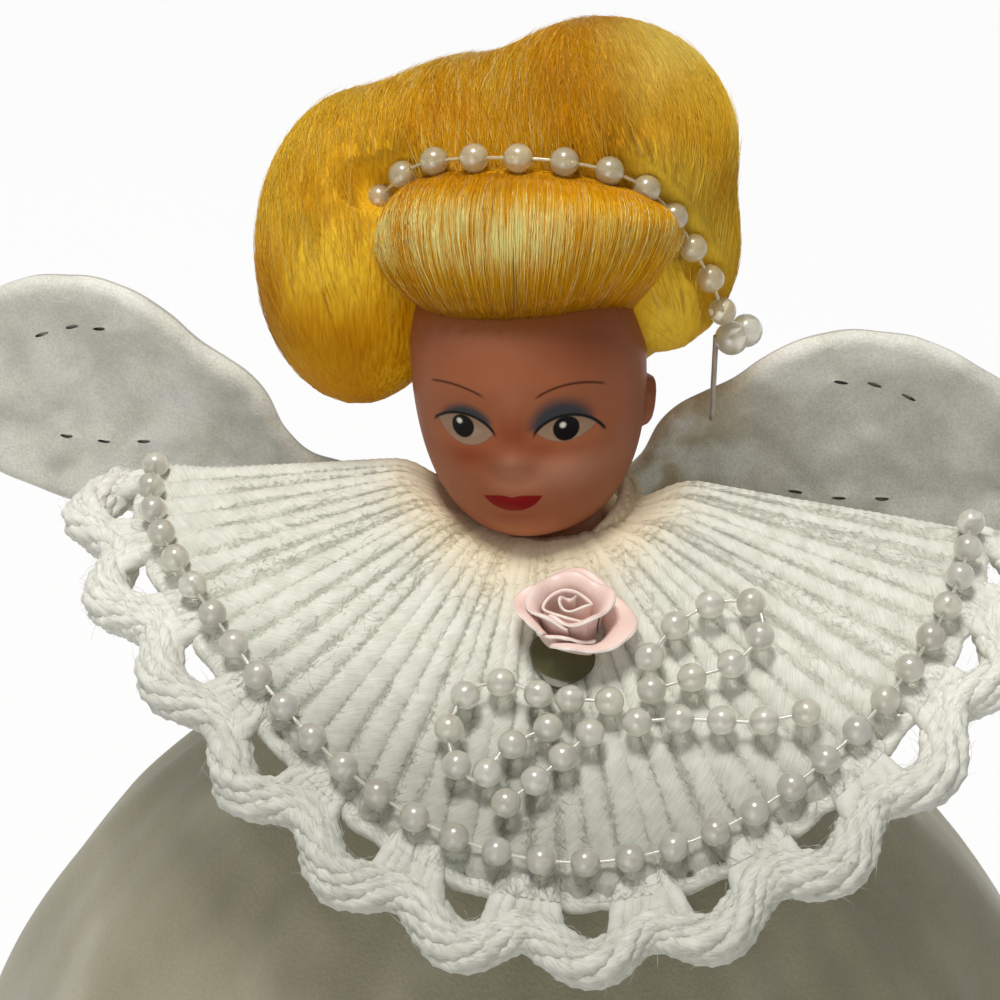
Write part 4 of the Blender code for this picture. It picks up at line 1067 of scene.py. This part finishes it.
def plain_skirt(angle, drop):
    """Radius of the cloth at an angle from the front: its folds, small gathers at the band, soft waves."""
    backness = max(0.0, -math.cos(angle)) ** 1.5
    top, hem = SKIRT_ROWS[1][0], SKIRT_ROWS[-1][0]
    grown = min(1.0, max(0.0, (drop - top) / (hem - top)))
    front = skirt_radius(drop, 1)
    radius = front + (skirt_radius(drop, 2) - front) * backness + 0.0005 * grown
    radius += SKIRT_FOLD_DEPTH * grown ** 1.2 * (math.cos(SKIRT_FOLDS * angle) - 1.0) / 2.0
    gather = max(0.0, 1.0 - grown * 2.2)
    radius += 0.00055 * gather * math.sin(36 * angle) + 0.0005 * grown * math.sin(29 * angle + 5 * grown)
    spot = Vector((3.0 * math.sin(angle), 3.0 * math.cos(angle), 22.0 * drop))
    return radius + 0.0008 * grown * noise.noise(spot * 1.6)


def pearl_seats():
    """Where each skirt pearl touches the cloth: angle, drop and how far the cloth comes out to meet it."""
    seats = []
    for number in range(1, SKIRT_FOLDS // 2 + 1):
        low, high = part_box(f"skirt_pearl_{number}")
        middle = (low + high) / 2
        angle = math.atan2(middle.x, -middle.y)
        drop = NECK_Z - middle.z
        slope = (plain_skirt(angle, drop + 0.004) - plain_skirt(angle, drop - 0.004)) / 0.008
        inward = (high.x - low.x) / 2 / math.hypot(1.0, slope)
        foot = drop + inward * slope
        reach = math.hypot(middle.x, middle.y) - inward
        seats.append((angle, foot, reach - plain_skirt(angle, foot)))
    return seats


def skirt_point(angle, drop, seats):
    """The cloth at an angle from the front, drawn out a little to the stitch of each pearl."""
    radius = plain_skirt(angle, drop)
    for seat, foot, reach in seats:
        aside = math.remainder(angle - seat, 2 * math.pi) * radius
        radius += reach * math.exp(-(aside / 0.006) ** 2 - ((drop - foot) / 0.009) ** 2)
    return Vector((radius * math.sin(angle), -radius * math.cos(angle), NECK_Z - drop))


def make_skirt():
    top, hem = SKIRT_ROWS[0][0], SKIRT_ROWS[-1][0]
    seats = pearl_seats()

    def place(across, down):
        return skirt_point(2 * math.pi * across, hem + (top - hem) * down, seats)

    mesh = shaped_grid("gathered_skirt", 288, 84, place, joined=True)
    skirt = link_piece("gathered_skirt", mesh, CLOTH, "gown", ["skirt"])
    hem_line = [skirt_point(2 * math.pi * step / 288, hem - 0.0004, seats) for step in range(288)]
    rolled = tubes_mesh("skirt_hem", ROUND, [(hem_line, [0.00055] * 288)], closed=True)
    hem_roll = link_piece("skirt_hem", rolled, CLOTH, "gown")

    low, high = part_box("skirt_band")
    outer = high.x

    def band(across, down):
        angle = 2 * math.pi * across
        bulge = 0.00025 * math.sin(math.pi * down) + 0.00012 * math.sin(24 * angle)
        radius = outer - 0.0003 + bulge
        return Vector((radius * math.cos(angle), radius * math.sin(angle),
                       high.z + (low.z - high.z) * down))

    mesh = shaped_grid("waist_ribbon", 192, 8, band, 0.0007, joined=True)
    link_piece("waist_ribbon", mesh, CLOTH, "gown", ["skirt_band"])


def wing_outline(steps):
    route = [(WING_ROOT_GAP + reach, rise, 0.0) for reach, rise in WING_OUTLINE]
    return smooth_path(route, steps, closed=True)


def drawn_in(outline, distance):
    """The outline drawn in by a distance; it runs clockwise, so inside is on its right."""
    inner = []
    for index, point in enumerate(outline):
        heading = outline[(index + 1) % len(outline)] - outline[index - 1]
        inner.append(point + Vector((heading.y, -heading.x, 0.0)).normalized() * distance)
    return inner


def is_inside(point, outline):
    odd = False
    for start, end in zip(outline, outline[1:] + outline[:1]):
        if (start.y > point.y) != (end.y > point.y):
            if point.x < start.x + (end.x - start.x) * (point.y - start.y) / (end.y - start.y):
                odd = not odd
    return odd


def edge_gap(point, outline):
    """Distance from a flat point to the nearest edge of an outline."""
    best = 1.0
    for start, end in zip(outline, outline[1:] + outline[:1]):
        near, share = intersect_point_line(point, start, end)
        near = start.lerp(end, min(1.0, max(0.0, share)))
        best = min(best, (point - near).length)
    return best


def wing_eyelets():
    """Small slots in two short rows on the outer part of the wing."""
    slots = []
    for row in WING_SLOTS:
        for index, (reach, rise) in enumerate(row):
            ahead = row[min(index + 1, len(row) - 1)]
            behind = row[max(index - 1, 0)]
            heading = Vector((ahead[0] - behind[0], ahead[1] - behind[1], 0.0)).normalized()
            side = Vector((-heading.y, heading.x, 0.0))
            turns = [2 * math.pi * k / 10 for k in range(10)]
            slots.append([Vector((reach, rise, 0.0)) + heading * (0.0008 * math.cos(turn))
                          + side * (0.00022 * math.sin(turn)) for turn in turns])
    return slots


def wing_panel(outline, slots):
    """A flat panel inside the outline with the slots cut out, as a fine net of faces."""
    spots = list(outline)
    for inset in (0.00012, 0.0004, 0.0008, 0.0014):
        spots.extend(drawn_in(outline, inset))
    rims = [(index, (index + 1) % len(outline)) for index in range(len(outline))]
    for slot in slots:
        start = len(spots)
        spots.extend(slot)
        rims.extend((start + k, start + (k + 1) % len(slot)) for k in range(len(slot)))
    x = 0.0
    middles = [sum(slot, Vector()) / len(slot) for slot in slots]
    while x < 0.060:
        y = -0.024
        while y < 0.014:
            spot = Vector((x, y, 0.0))
            clear = all((spot - middle).length > 0.0011 for middle in middles)
            if clear and is_inside(spot, outline) and edge_gap(spot, outline) > 0.0007:
                spots.append(spot)
            y += 0.0013
        x += 0.0013
    flat = [spot.to_2d() for spot in spots]
    verts, _, faces, _, _, _ = delaunay_2d_cdt(flat, rims, [], 1, 1e-8)
    kept = []
    for face in faces:
        middle = sum((verts[index] for index in face), Vector((0.0, 0.0))) / len(face)
        in_slot = any((middle - centre.to_2d()).length < 0.0009 and is_inside(middle.to_3d(), slot)
                      for centre, slot in zip(middles, slots))
        if not in_slot and is_inside(middle.to_3d(), outline):
            kept.append(face)
    return verts, kept


def wing_sheet(name, net, border, place, facing):
    """One face of the wing: puffed cloth over a flat net, turned round the cord in its edge."""
    verts, faces = net
    bm = bmesh.new()
    made = []
    for vert in verts:
        spot = Vector((vert.x, vert.y, 0.0))
        gap = edge_gap(spot, border)
        inner = min(1.0, gap / 0.005)
        puff = 0.0008 * inner * noise.noise(spot * 170.0) + 0.0006 * inner * noise.noise(spot * 420.0)
        turned = math.sqrt(max(0.0, 1.0 - max(0.0, 1.0 - gap / WING_TURN) ** 2))
        fallen = math.exp(-(max(0.0, gap - WING_TURN) / 0.0026) ** 2)
        fallen *= 1.0 + 0.3 * inner * noise.noise(spot * 260.0 + Vector((7.0, 0.0, 0.0)))
        height = (0.00025 + (WING_TURN - 0.00025) * fallen) * turned
        made.append(bm.verts.new((vert.x, vert.y, puff + facing * height)))
    for face in faces:
        bm.faces.new([made[index] for index in face])
    bmesh.ops.transform(bm, matrix=place, verts=bm.verts)
    bmesh.ops.recalc_face_normals(bm, faces=bm.faces)
    return mesh_from(bm, name)


def make_wing(side, sign):
    """Soft wing cloth with a few eyelets and a darker lining, both turned round the cord in the wing's edge;
    the lining's grey is painted shade seen through the eyelets.
    """
    root = Matrix.Translation((WING_PAIR_X + sign * WING_BAR_LENGTH / 2, WING_BAR_Y, NECK_Z))
    place = (root @ Matrix.Rotation(sign * WING_SWEEP, 4, "Z") @ Matrix.Diagonal((sign, 1.0, 1.0, 1.0))
             @ Matrix.Rotation(math.pi / 2, 4, "X"))
    name = f"{side}_wing"
    outline = wing_outline(8)
    border = [outer + (outer - point).normalized() * 0.0005 * (1.0 + noise.noise(point * 190.0))
              for point, outer in zip(outline, drawn_in(outline, -WING_TURN))]
    cloth = wing_sheet(name, wing_panel(border, wing_eyelets()), border, place, 1.0)
    link_piece(f"{side}_wing_cloth", cloth, LACE, name, [name])
    lining = wing_sheet(f"{name}_lining", wing_panel(border, []), border, place, -1.0)
    link_piece(f"{side}_shaded_wing_lining", lining, SHADED_LINING, name)

    cord = [place @ point for point in wing_outline(16)]
    mesh = tubes_mesh(f"{side}_cord", ROUND, [(cord, [0.96 * WING_EDGE_RADIUS] * len(cord))], closed=True)
    link_piece(f"{side}_wing_hem", mesh, LACE, name, [f"{name}_edge"])


def face_form(unit):
    """Where a point of a unit ball lies on the doll's head, in the skull's frame."""
    below = max(0.0, -unit.z)
    egg = math.sqrt(max(0.0, 1.0 - below ** 2))
    fullness = 1.0
    if egg > 1e-6:
        full = max(0.0, 1.0 - below ** JAW_FULLNESS) ** (1.0 / JAW_FULLNESS)
        fullness = 1.0 + (full / egg - 1.0) * (1.0 - max(0.0, unit.y))
    x = unit.x * SKULL_HALF[0] * fullness * (1.0 - JAW_TAPER * below ** 2)
    y = unit.y * SKULL_HALF[1] * fullness
    if unit.y > 0.0:
        y *= 1.0 - NAPE_TAPER * below ** 2
    z = SKULL_CENTRE_Z + unit.z * (SKULL_LOW if unit.z < 0.0 else SKULL_HALF[2])
    if unit.y < 0.2:
        facing = min(1.0, (0.2 - unit.y) / 0.3)
        mx, mz = 1000.0 * x, 1000.0 * z
        relief = 0.0
        for px, py, wide, tall, lift in FACE_RELIEF:
            relief += lift * math.exp(-((mx - px) / wide) ** 2 - ((mz - py) / tall) ** 2)
        y -= 0.001 * relief * facing
    ear = ((1000.0 * y - 2.6) / 2.0) ** 2 + ((1000.0 * z - 6.2) / 2.7) ** 2
    if ear < 1.0:
        x += (0.0011 if x > 0.0 else -0.0006) * (1.0 - ear ** 3) ** 0.5
    return Vector((x, y, z))


FACE_RELIEF = (
    (-0.3, 5.0, 1.8, 1.6, 0.72), (-0.2, 8.0, 1.2, 2.8, 0.35), (-5.0, 8.1, 3.0, 1.5, -0.35),
    (5.0, 7.9, 3.0, 1.5, -0.35), (-4.6, 12.0, 3.6, 1.4, 0.18), (4.6, 11.9, 3.6, 1.4, 0.18),
    (-5.4, 3.9, 2.6, 2.0, 0.55), (4.9, 3.8, 2.6, 2.0, 0.65), (-0.4, 1.9, 2.4, 0.9, 0.30),
    (-0.45, 0.7, 2.0, 0.8, 0.40), (-0.4, -1.0, 2.2, 0.7, -0.25), (0.2, -2.6, 2.8, 1.4, 0.55),
)


def make_face():
    """The doll's head with its small relief, on the neck tube that turns on the post."""
    bm = bmesh.new()
    bmesh.ops.create_uvsphere(bm, u_segments=176, v_segments=132, radius=1.0)
    for vert in bm.verts:
        vert.co = SKULL_FRAME @ face_form(vert.co)
    low = NECK_Z - 0.0103
    bmesh.ops.create_cone(bm, cap_ends=True, segments=64, radius1=0.0064, radius2=0.0060, depth=0.0123,
                          matrix=Matrix.Translation((0.0, 0.0, low + 0.00615)))
    link_piece("doll_face", mesh_from(bm, "doll_face"), VINYL, "head", ["head_shell"])


def outside_hair(points):
    """How far points lie outside the piled hair, a soft union of its lobes."""
    nearness = np.zeros(len(points))
    for centre, half in HAIR_LOBES.values():
        scaled = (points - centre) / half
        length = np.linalg.norm(scaled, axis=1)
        steep = np.linalg.norm(scaled / half, axis=1)
        nearness += np.exp(-length * (length - 1.0) / np.maximum(steep, 1e-6) / HAIR_BLEND)
    return -HAIR_BLEND * np.log(np.maximum(nearness, 1e-300))


def hair_normal(points):
    step = 2e-5
    slopes = [outside_hair(points + step * axis) - outside_hair(points - step * axis) for axis in np.eye(3)]
    normal = np.stack(slopes, 1)
    return normal / np.linalg.norm(normal, axis=1)[:, None]


def over_face(points):
    """True for points of the hair's frame that would hang in front of the face."""
    to_skull = np.array(SKULL_FRAME.inverted() @ HAIR_FRAME)
    spots = points @ to_skull[:3, :3].T + to_skull[:3, 3]
    return (spots[:, 1] < -1.5e-3) & (spots[:, 2] < 17.5e-3) & (np.abs(spots[:, 0]) < 11.9e-3)


def headband_room():
    """Points along the headband that the hair leaves open, out to the front of its deepest pearls."""
    band = [np.array(point) for point in smooth_path(HEADBAND_ROUTE, 4)]
    opened = [point + reach * np.array((-0.30, -0.75, 0.58))
              for point in band[:3] for reach in (0.0012, 0.0024, 0.0036, 0.0048)]
    return np.array(band), np.array(opened)


def by_headband(points):
    """True for points of the hair's frame that would hide the pearls of the headband."""
    band, opened = headband_room()
    band = np.concatenate((band + np.array((0.0, -0.0012, 0.0008)), opened))
    return np.linalg.norm(points[:, None, :] - band[None], axis=2).min(1) < 0.0015


def hair_fall(points):
    """The way the piled hair is combed: up and back, leaning to the left, more so on the right."""
    fall = np.tile((-0.22, 0.35, 0.92), (len(points), 1))
    fall[:, 0] -= 18.0 * np.maximum(points[:, 0], 0.0)
    return fall


def to_hair(ways):
    """Points of the piled hair's outside, found by coming in from outside along each way to its heart."""
    reach = np.full(len(ways), 0.050)
    settled = np.zeros(len(ways), bool)
    while not settled.all():
        gap = outside_hair(HAIR_HEART + ways * reach[:, None])
        settled = (gap < 0.00002) | (reach < 0.001)
        reach = np.where(settled, reach, reach - np.clip(gap * 0.6, 0.00002, 0.002))
    return HAIR_HEART + ways * reach[:, None]


def pile_strands(count):
    """Fibres that lie all over the piled hair, each with its first point and its widths."""
    way = dice_np.normal(size=(count, 3))
    way[:, 2] = np.where(way[:, 2] < -0.4, -way[:, 2], way[:, 2])
    way /= np.linalg.norm(way, axis=1)[:, None]
    spots = to_hair(way)
    first = spots
    length = dice_np.uniform(0.006, 0.013, count)
    sway = dice_np.normal(0.0, 0.13, count)
    bend = dice_np.normal(0.0, 0.05, count)
    lift = np.where(dice_np.random(count) < 0.03, dice_np.uniform(0.0002, 0.0005, count),
                    dice_np.uniform(-0.0001, 0.00015, count))
    steps = 4
    trail = []
    clear = []
    for step in range(steps + 1):
        share = step / steps
        normal = hair_normal(spots)
        rise = -0.00025 + (lift + 0.00025) * share ** 1.5
        spots = spots - normal * (outside_hair(spots) - rise)[:, None]
        trail.append(spots)
        clear.append(~(over_face(spots) | by_headband(spots)))
        fall = hair_fall(spots)
        fall -= normal * (fall * normal).sum(1)[:, None]
        fall /= np.maximum(np.linalg.norm(fall, axis=1), 1e-6)[:, None]
        aside = np.cross(normal, fall)
        turn = (sway + bend * step)[:, None]
        spots = spots + (fall * np.cos(turn) + aside * np.sin(turn)) * (length / steps)[:, None]
    place = np.array(HAIR_FRAME)
    trail = np.stack(trail, 1) @ place[:3, :3].T + place[:3, 3]
    clear = np.stack(clear, 1)
    begin = clear.argmax(1)
    shape = np.array([0.55, 1.0, 1.0, 0.85, 0.3])
    width = dice_np.uniform(0.000018, 0.000036, count)
    strands = []
    for root, points, wide, open_way, start in zip(first, trail, width, clear, begin):
        length = int(np.cumprod(open_way[start:]).sum())
        if length > 1:
            taper = np.interp(np.linspace(0.0, 1.0, length), np.linspace(0.0, 1.0, len(shape)), shape)
            strands.append((root, (points[start:start + length], taper * wide)))
    return strands


def make_hair_pile():
    """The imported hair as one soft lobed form, with loose fibres laid over it."""
    bm = bmesh.new()
    bmesh.ops.create_uvsphere(bm, u_segments=200, v_segments=130, radius=1.0)
    ways = np.array([vert.co for vert in bm.verts])
    spots = to_hair(ways)
    band = np.concatenate(headband_room())
    close = np.ones(len(spots), bool)
    moved = np.zeros(len(spots), bool)
    while close.any():
        close = np.linalg.norm(spots[:, None, :] - band[None], axis=2).min(1) < 0.0020
        spots[close] -= 0.0002 * ways[close]
        moved |= close
    for vert, spot in zip(bm.verts, spots):
        combed = noise.noise(Vector((spot[0] * 1100.0, spot[1] * 1100.0, spot[2] * 150.0)))
        sunk = 0.00035 - 0.00022 * combed
        vert.co = HAIR_FRAME @ Vector(spot - ways[vert.index] * sunk)
    bm.verts.ensure_lookup_table()
    dented = {near for index in np.flatnonzero(moved) for edge in bm.verts[index].link_edges
              for near in edge.verts}
    for _ in range(5):
        bmesh.ops.smooth_vert(bm, verts=list(dented), factor=0.5, use_axis_x=True, use_axis_y=True,
                              use_axis_z=True)
    link_piece("hair_pile", mesh_from(bm, "hair_pile"), HAIR_BED, "head",
               ["hair_top", "hair_left", "hair_right", "hair_back"])

    strands = {"left": [], "crown": [], "front": [], "right": [], "back": []}
    for root, strand in pile_strands(PILE_FIBRES):
        x, y, _ = root
        if y > 0.0090 and dice.random() < 0.5:
            continue
        side = "left" if x < -0.0155 else "right" if x > 0.0085 else "back" if y > 0.0090 else None
        strands[side or ("crown" if x < -0.0045 else "front")].append(strand)
    for side, paths in strands.items():
        mesh = tubes_mesh(f"hair_{side}_strands", FIBRE, paths)
        link_piece(f"hair_{side}_strands", mesh, GOLD, "head")


def fringe_point(u, share, proud=0.0):
    """A point of the fringe: u runs across it, share goes from the headband to the hairline."""
    band = FRINGE_ROOTS[-1] if u >= 1.0 else along(FRINGE_ROOTS, FRINGE_LENGTH * max(0.0, 0.5 * u + 0.5))
    side = math.radians(6.0 + 88.0 * u)
    temple = max(0.0, u - 0.35)
    left = max(0.0, -u - 0.35) / 0.65
    band = band + Vector((0.0, 0.0006, -0.0020)) * left ** 2
    low = 0.0188 - 0.0003 * u * u - 0.0085 * temple ** 2
    line = FRINGE_LINE @ Vector((0.01075 * math.sin(side), -0.01195 * math.cos(side), low))
    out = Vector((math.sin(0.97 * side), -math.cos(0.97 * side), 0.0))
    flatter = 0.88 if u < 0.0 else 0.74
    first = band + out * 0.0080 * (1.0 - flatter * u * u) + Vector((0.0, 0.0, 0.0005 - 0.0032 * left ** 1.5))
    second = line + out * (0.0046 + 0.0008 * left - 0.0026 * temple)
    second = second + Vector((0.0, 0.0, 0.0044 - 0.0012 * left))
    rest = 1.0 - share
    spot = (rest ** 3 * band + 3 * rest ** 2 * share * first + 3 * rest * share ** 2 * second
            + share ** 3 * line)
    return spot + out * proud * math.sin(math.pi * (0.15 + 0.75 * share))


FRINGE_ROOTS = [point + Vector((0.0, 0.0010, -0.0013)) for point in smooth_path(HEADBAND_ROUTE[:9])]
FRINGE_LENGTH = path_length(FRINGE_ROOTS)
FRINGE_LINE = HAIR_FRAME.inverted() @ SKULL_FRAME


def make_fringe():
    """The roll over the forehead, combed down in locks from the pearls to the hairline."""
    def bed(across, down):
        u = 0.97 * (2.0 * across - 1.0)
        combed = noise.noise(Vector((u * 34.0, 0.6 * down, 0.0)))
        return HAIR_FRAME @ fringe_point(u, 1.0 - down, -0.0005 + 0.00025 * combed)

    mesh = shaped_grid("fringe_roll", 190, 44, bed, 0.0004)
    link_piece("fringe_roll", mesh, HAIR_BED, "head", ["hair_fringe"])

    strands = {"left": [], "middle": [], "right": []}
    for lock in range(FRINGE_LOCKS):
        middle = 2.0 * (lock + dice.uniform(0.0, 1.0)) / FRINGE_LOCKS - 1.0
        third = "left" if middle < -0.33 else "right" if middle > 0.33 else "middle"
        proud = dice.uniform(-0.00012, 0.00020)
        wave = dice.uniform(0.0, 6.0)
        stop = dice.uniform(0.93, 1.05)
        lean = dice.gauss(-0.012, 0.02)
        for _ in range(LOCK_FIBRES):
            u0 = middle + dice.gauss(0.0, 0.026)
            u1 = middle + lean + (u0 - middle) * dice.uniform(0.3, 1.3) + dice.gauss(0.0, 0.005)
            if max(abs(u0), abs(u1)) > 1.0:
                continue
            lift = proud + dice.uniform(-0.0003, 0.0002)
            last = stop + dice.gauss(0.0, 0.025)
            first = dice.uniform(0.0, 0.12)
            points = []
            for step in range(9):
                share = step / 8
                kink = 0.00012 * math.sin(7.0 * share + wave)
                points.append(HAIR_FRAME @ fringe_point(u0 + (u1 - u0) * share ** 1.3,
                                                        first + (last - first) * share, lift + kink))
            wide = dice.uniform(0.000016, 0.000036)
            strands[third].append((points, [wide * part for part in
                                            (0.6, 0.9, 1, 1, 1, 1, 0.9, 0.7, 0.35)]))
    for third, paths in strands.items():
        mesh = tubes_mesh(f"fringe_{third}_strands", FIBRE, paths)
        link_piece(f"fringe_{third}_strands", mesh, FRINGE_GOLD, "head")


def make_tail_wire():
    low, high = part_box("headband_wire")
    middle = (low + high) / 2
    top = high.z + 0.0020
    points = [Vector((middle.x, middle.y, top + (low.z - top) * step / 12)) for step in range(13)]
    mesh = tubes_mesh("tail_wire", ROUND, [(points, [0.00028] * 13)])
    link_piece("tail_wire", mesh, WIRE, "head", ["headband_wire"])


def finish_cad_nodes():
    """The cone, the post and the wing bar stay as they are and get better surfaces."""
    for name, finish in (("cone_core", CARD), ("neck_post", WOOD), ("wing_bar", CARD)):
        mesh = frame["nodes"][name].data
        mesh.materials.clear()
        mesh.materials.append(finish.material)


def make_stage():
    """A white floor that keeps a soft shadow, a white surround and plain soft lamps."""
    bm = bmesh.new()
    bmesh.ops.create_grid(bm, x_segments=1, y_segments=1, size=6.0)
    floor = bpy.data.objects.new("floor", mesh_from(bm, "floor"))
    bpy.context.scene.collection.objects.link(floor)
    paint = Finish("white_floor", colour=(0.70, 0.70, 0.69, 1.0), roughness=0.9)
    seen = paint.node("LightPath")
    rays = paint.sums("MAXIMUM", seen.outputs["Is Camera Ray"], paint.sums(
        "MAXIMUM", seen.outputs["Is Glossy Ray"], seen.outputs["Is Transmission Ray"]))
    glow = paint.node("Emission", {"Color": (1.0, 1.0, 1.0, 1.0), "Strength": 1.05})
    mixed = paint.node("MixShader", {0: paint.sums("MULTIPLY", rays, 0.86),
                                     1: paint.shader.outputs[0], 2: glow.outputs[0]})
    paint.tree.links.new(mixed.outputs[0], paint.tree.nodes["Material Output"].inputs["Surface"])
    floor.data.materials.append(paint.material)

    world = bpy.data.worlds.new("surround")
    bpy.context.scene.world = world
    world.use_nodes = True
    nodes, links = world.node_tree.nodes, world.node_tree.links
    sky = nodes["Background"]
    sky.inputs["Color"].default_value = (1.0, 0.985, 0.96, 1.0)
    sky.inputs["Strength"].default_value = 0.34
    white = nodes.new("ShaderNodeBackground")
    path = nodes.new("ShaderNodeLightPath")
    mix = nodes.new("ShaderNodeMixShader")
    links.new(path.outputs["Is Camera Ray"], mix.inputs[0])
    links.new(sky.outputs[0], mix.inputs[1])
    links.new(white.outputs[0], mix.inputs[2])
    links.new(mix.outputs[0], nodes["World Output"].inputs["Surface"])

    for name, spot, size, watts, tint in (
            ("overhead", (-0.08, -0.06, 0.95), 0.22, 4.8, (1.0, 0.985, 0.95)),
            ("front_fill", (-0.12, -0.85, 0.22), 0.5, 1.4, (1.0, 0.98, 0.95))):
        lamp = bpy.data.lights.new(name, "AREA")
        lamp.size = size
        lamp.energy = watts
        lamp.color = tint
        item = bpy.data.objects.new(name, lamp)
        item.location = spot
        aim = Vector((0.0, 0.0, NECK_Z)) - Vector(spot)
        item.rotation_mode = "QUATERNION"
        item.rotation_quaternion = aim.to_track_quat("-Z", "Y")
        bpy.context.scene.collection.objects.link(item)


def make_camera():
    """The photograph's view: 8 degrees to the right of the front and 34 degrees above it."""
    turn, lift = math.radians(8), math.radians(34)
    right = Vector((math.cos(turn), math.sin(turn), 0.0))
    back = Vector((math.sin(turn) * math.cos(lift), -math.cos(turn) * math.cos(lift), math.sin(lift)))
    up = back.cross(right)
    target = Vector((0.0, 0.0, NECK_Z)) - 0.004 * right - 0.003 * up
    camera = bpy.data.cameras.new("photo_view")
    camera.lens = 93.6
    camera.clip_start = 0.01
    item = bpy.data.objects.new("photo_view", camera)
    item.location = target + 0.260 * back
    item.rotation_mode = "QUATERNION"
    item.rotation_quaternion = (-back).to_track_quat("-Z", "Y")
    bpy.context.scene.collection.objects.link(item)
    bpy.context.scene.camera = item


make_camera()
make_stage()
make_skirt()
make_cape()
make_cape_fuzz()
make_edging()
make_neck_roll()
make_pearls()
make_rose()
make_wing("left", -1)
make_wing("right", 1)
make_face()
make_hair_pile()
make_fringe()
make_tail_wire()
finish_cad_nodes()
for profile in (ROUND, FIBRE, PLIED, TWIST):
    bpy.data.objects.remove(profile, do_unlink=True)
bpy.context.scene.view_settings.view_transform = "Standard"
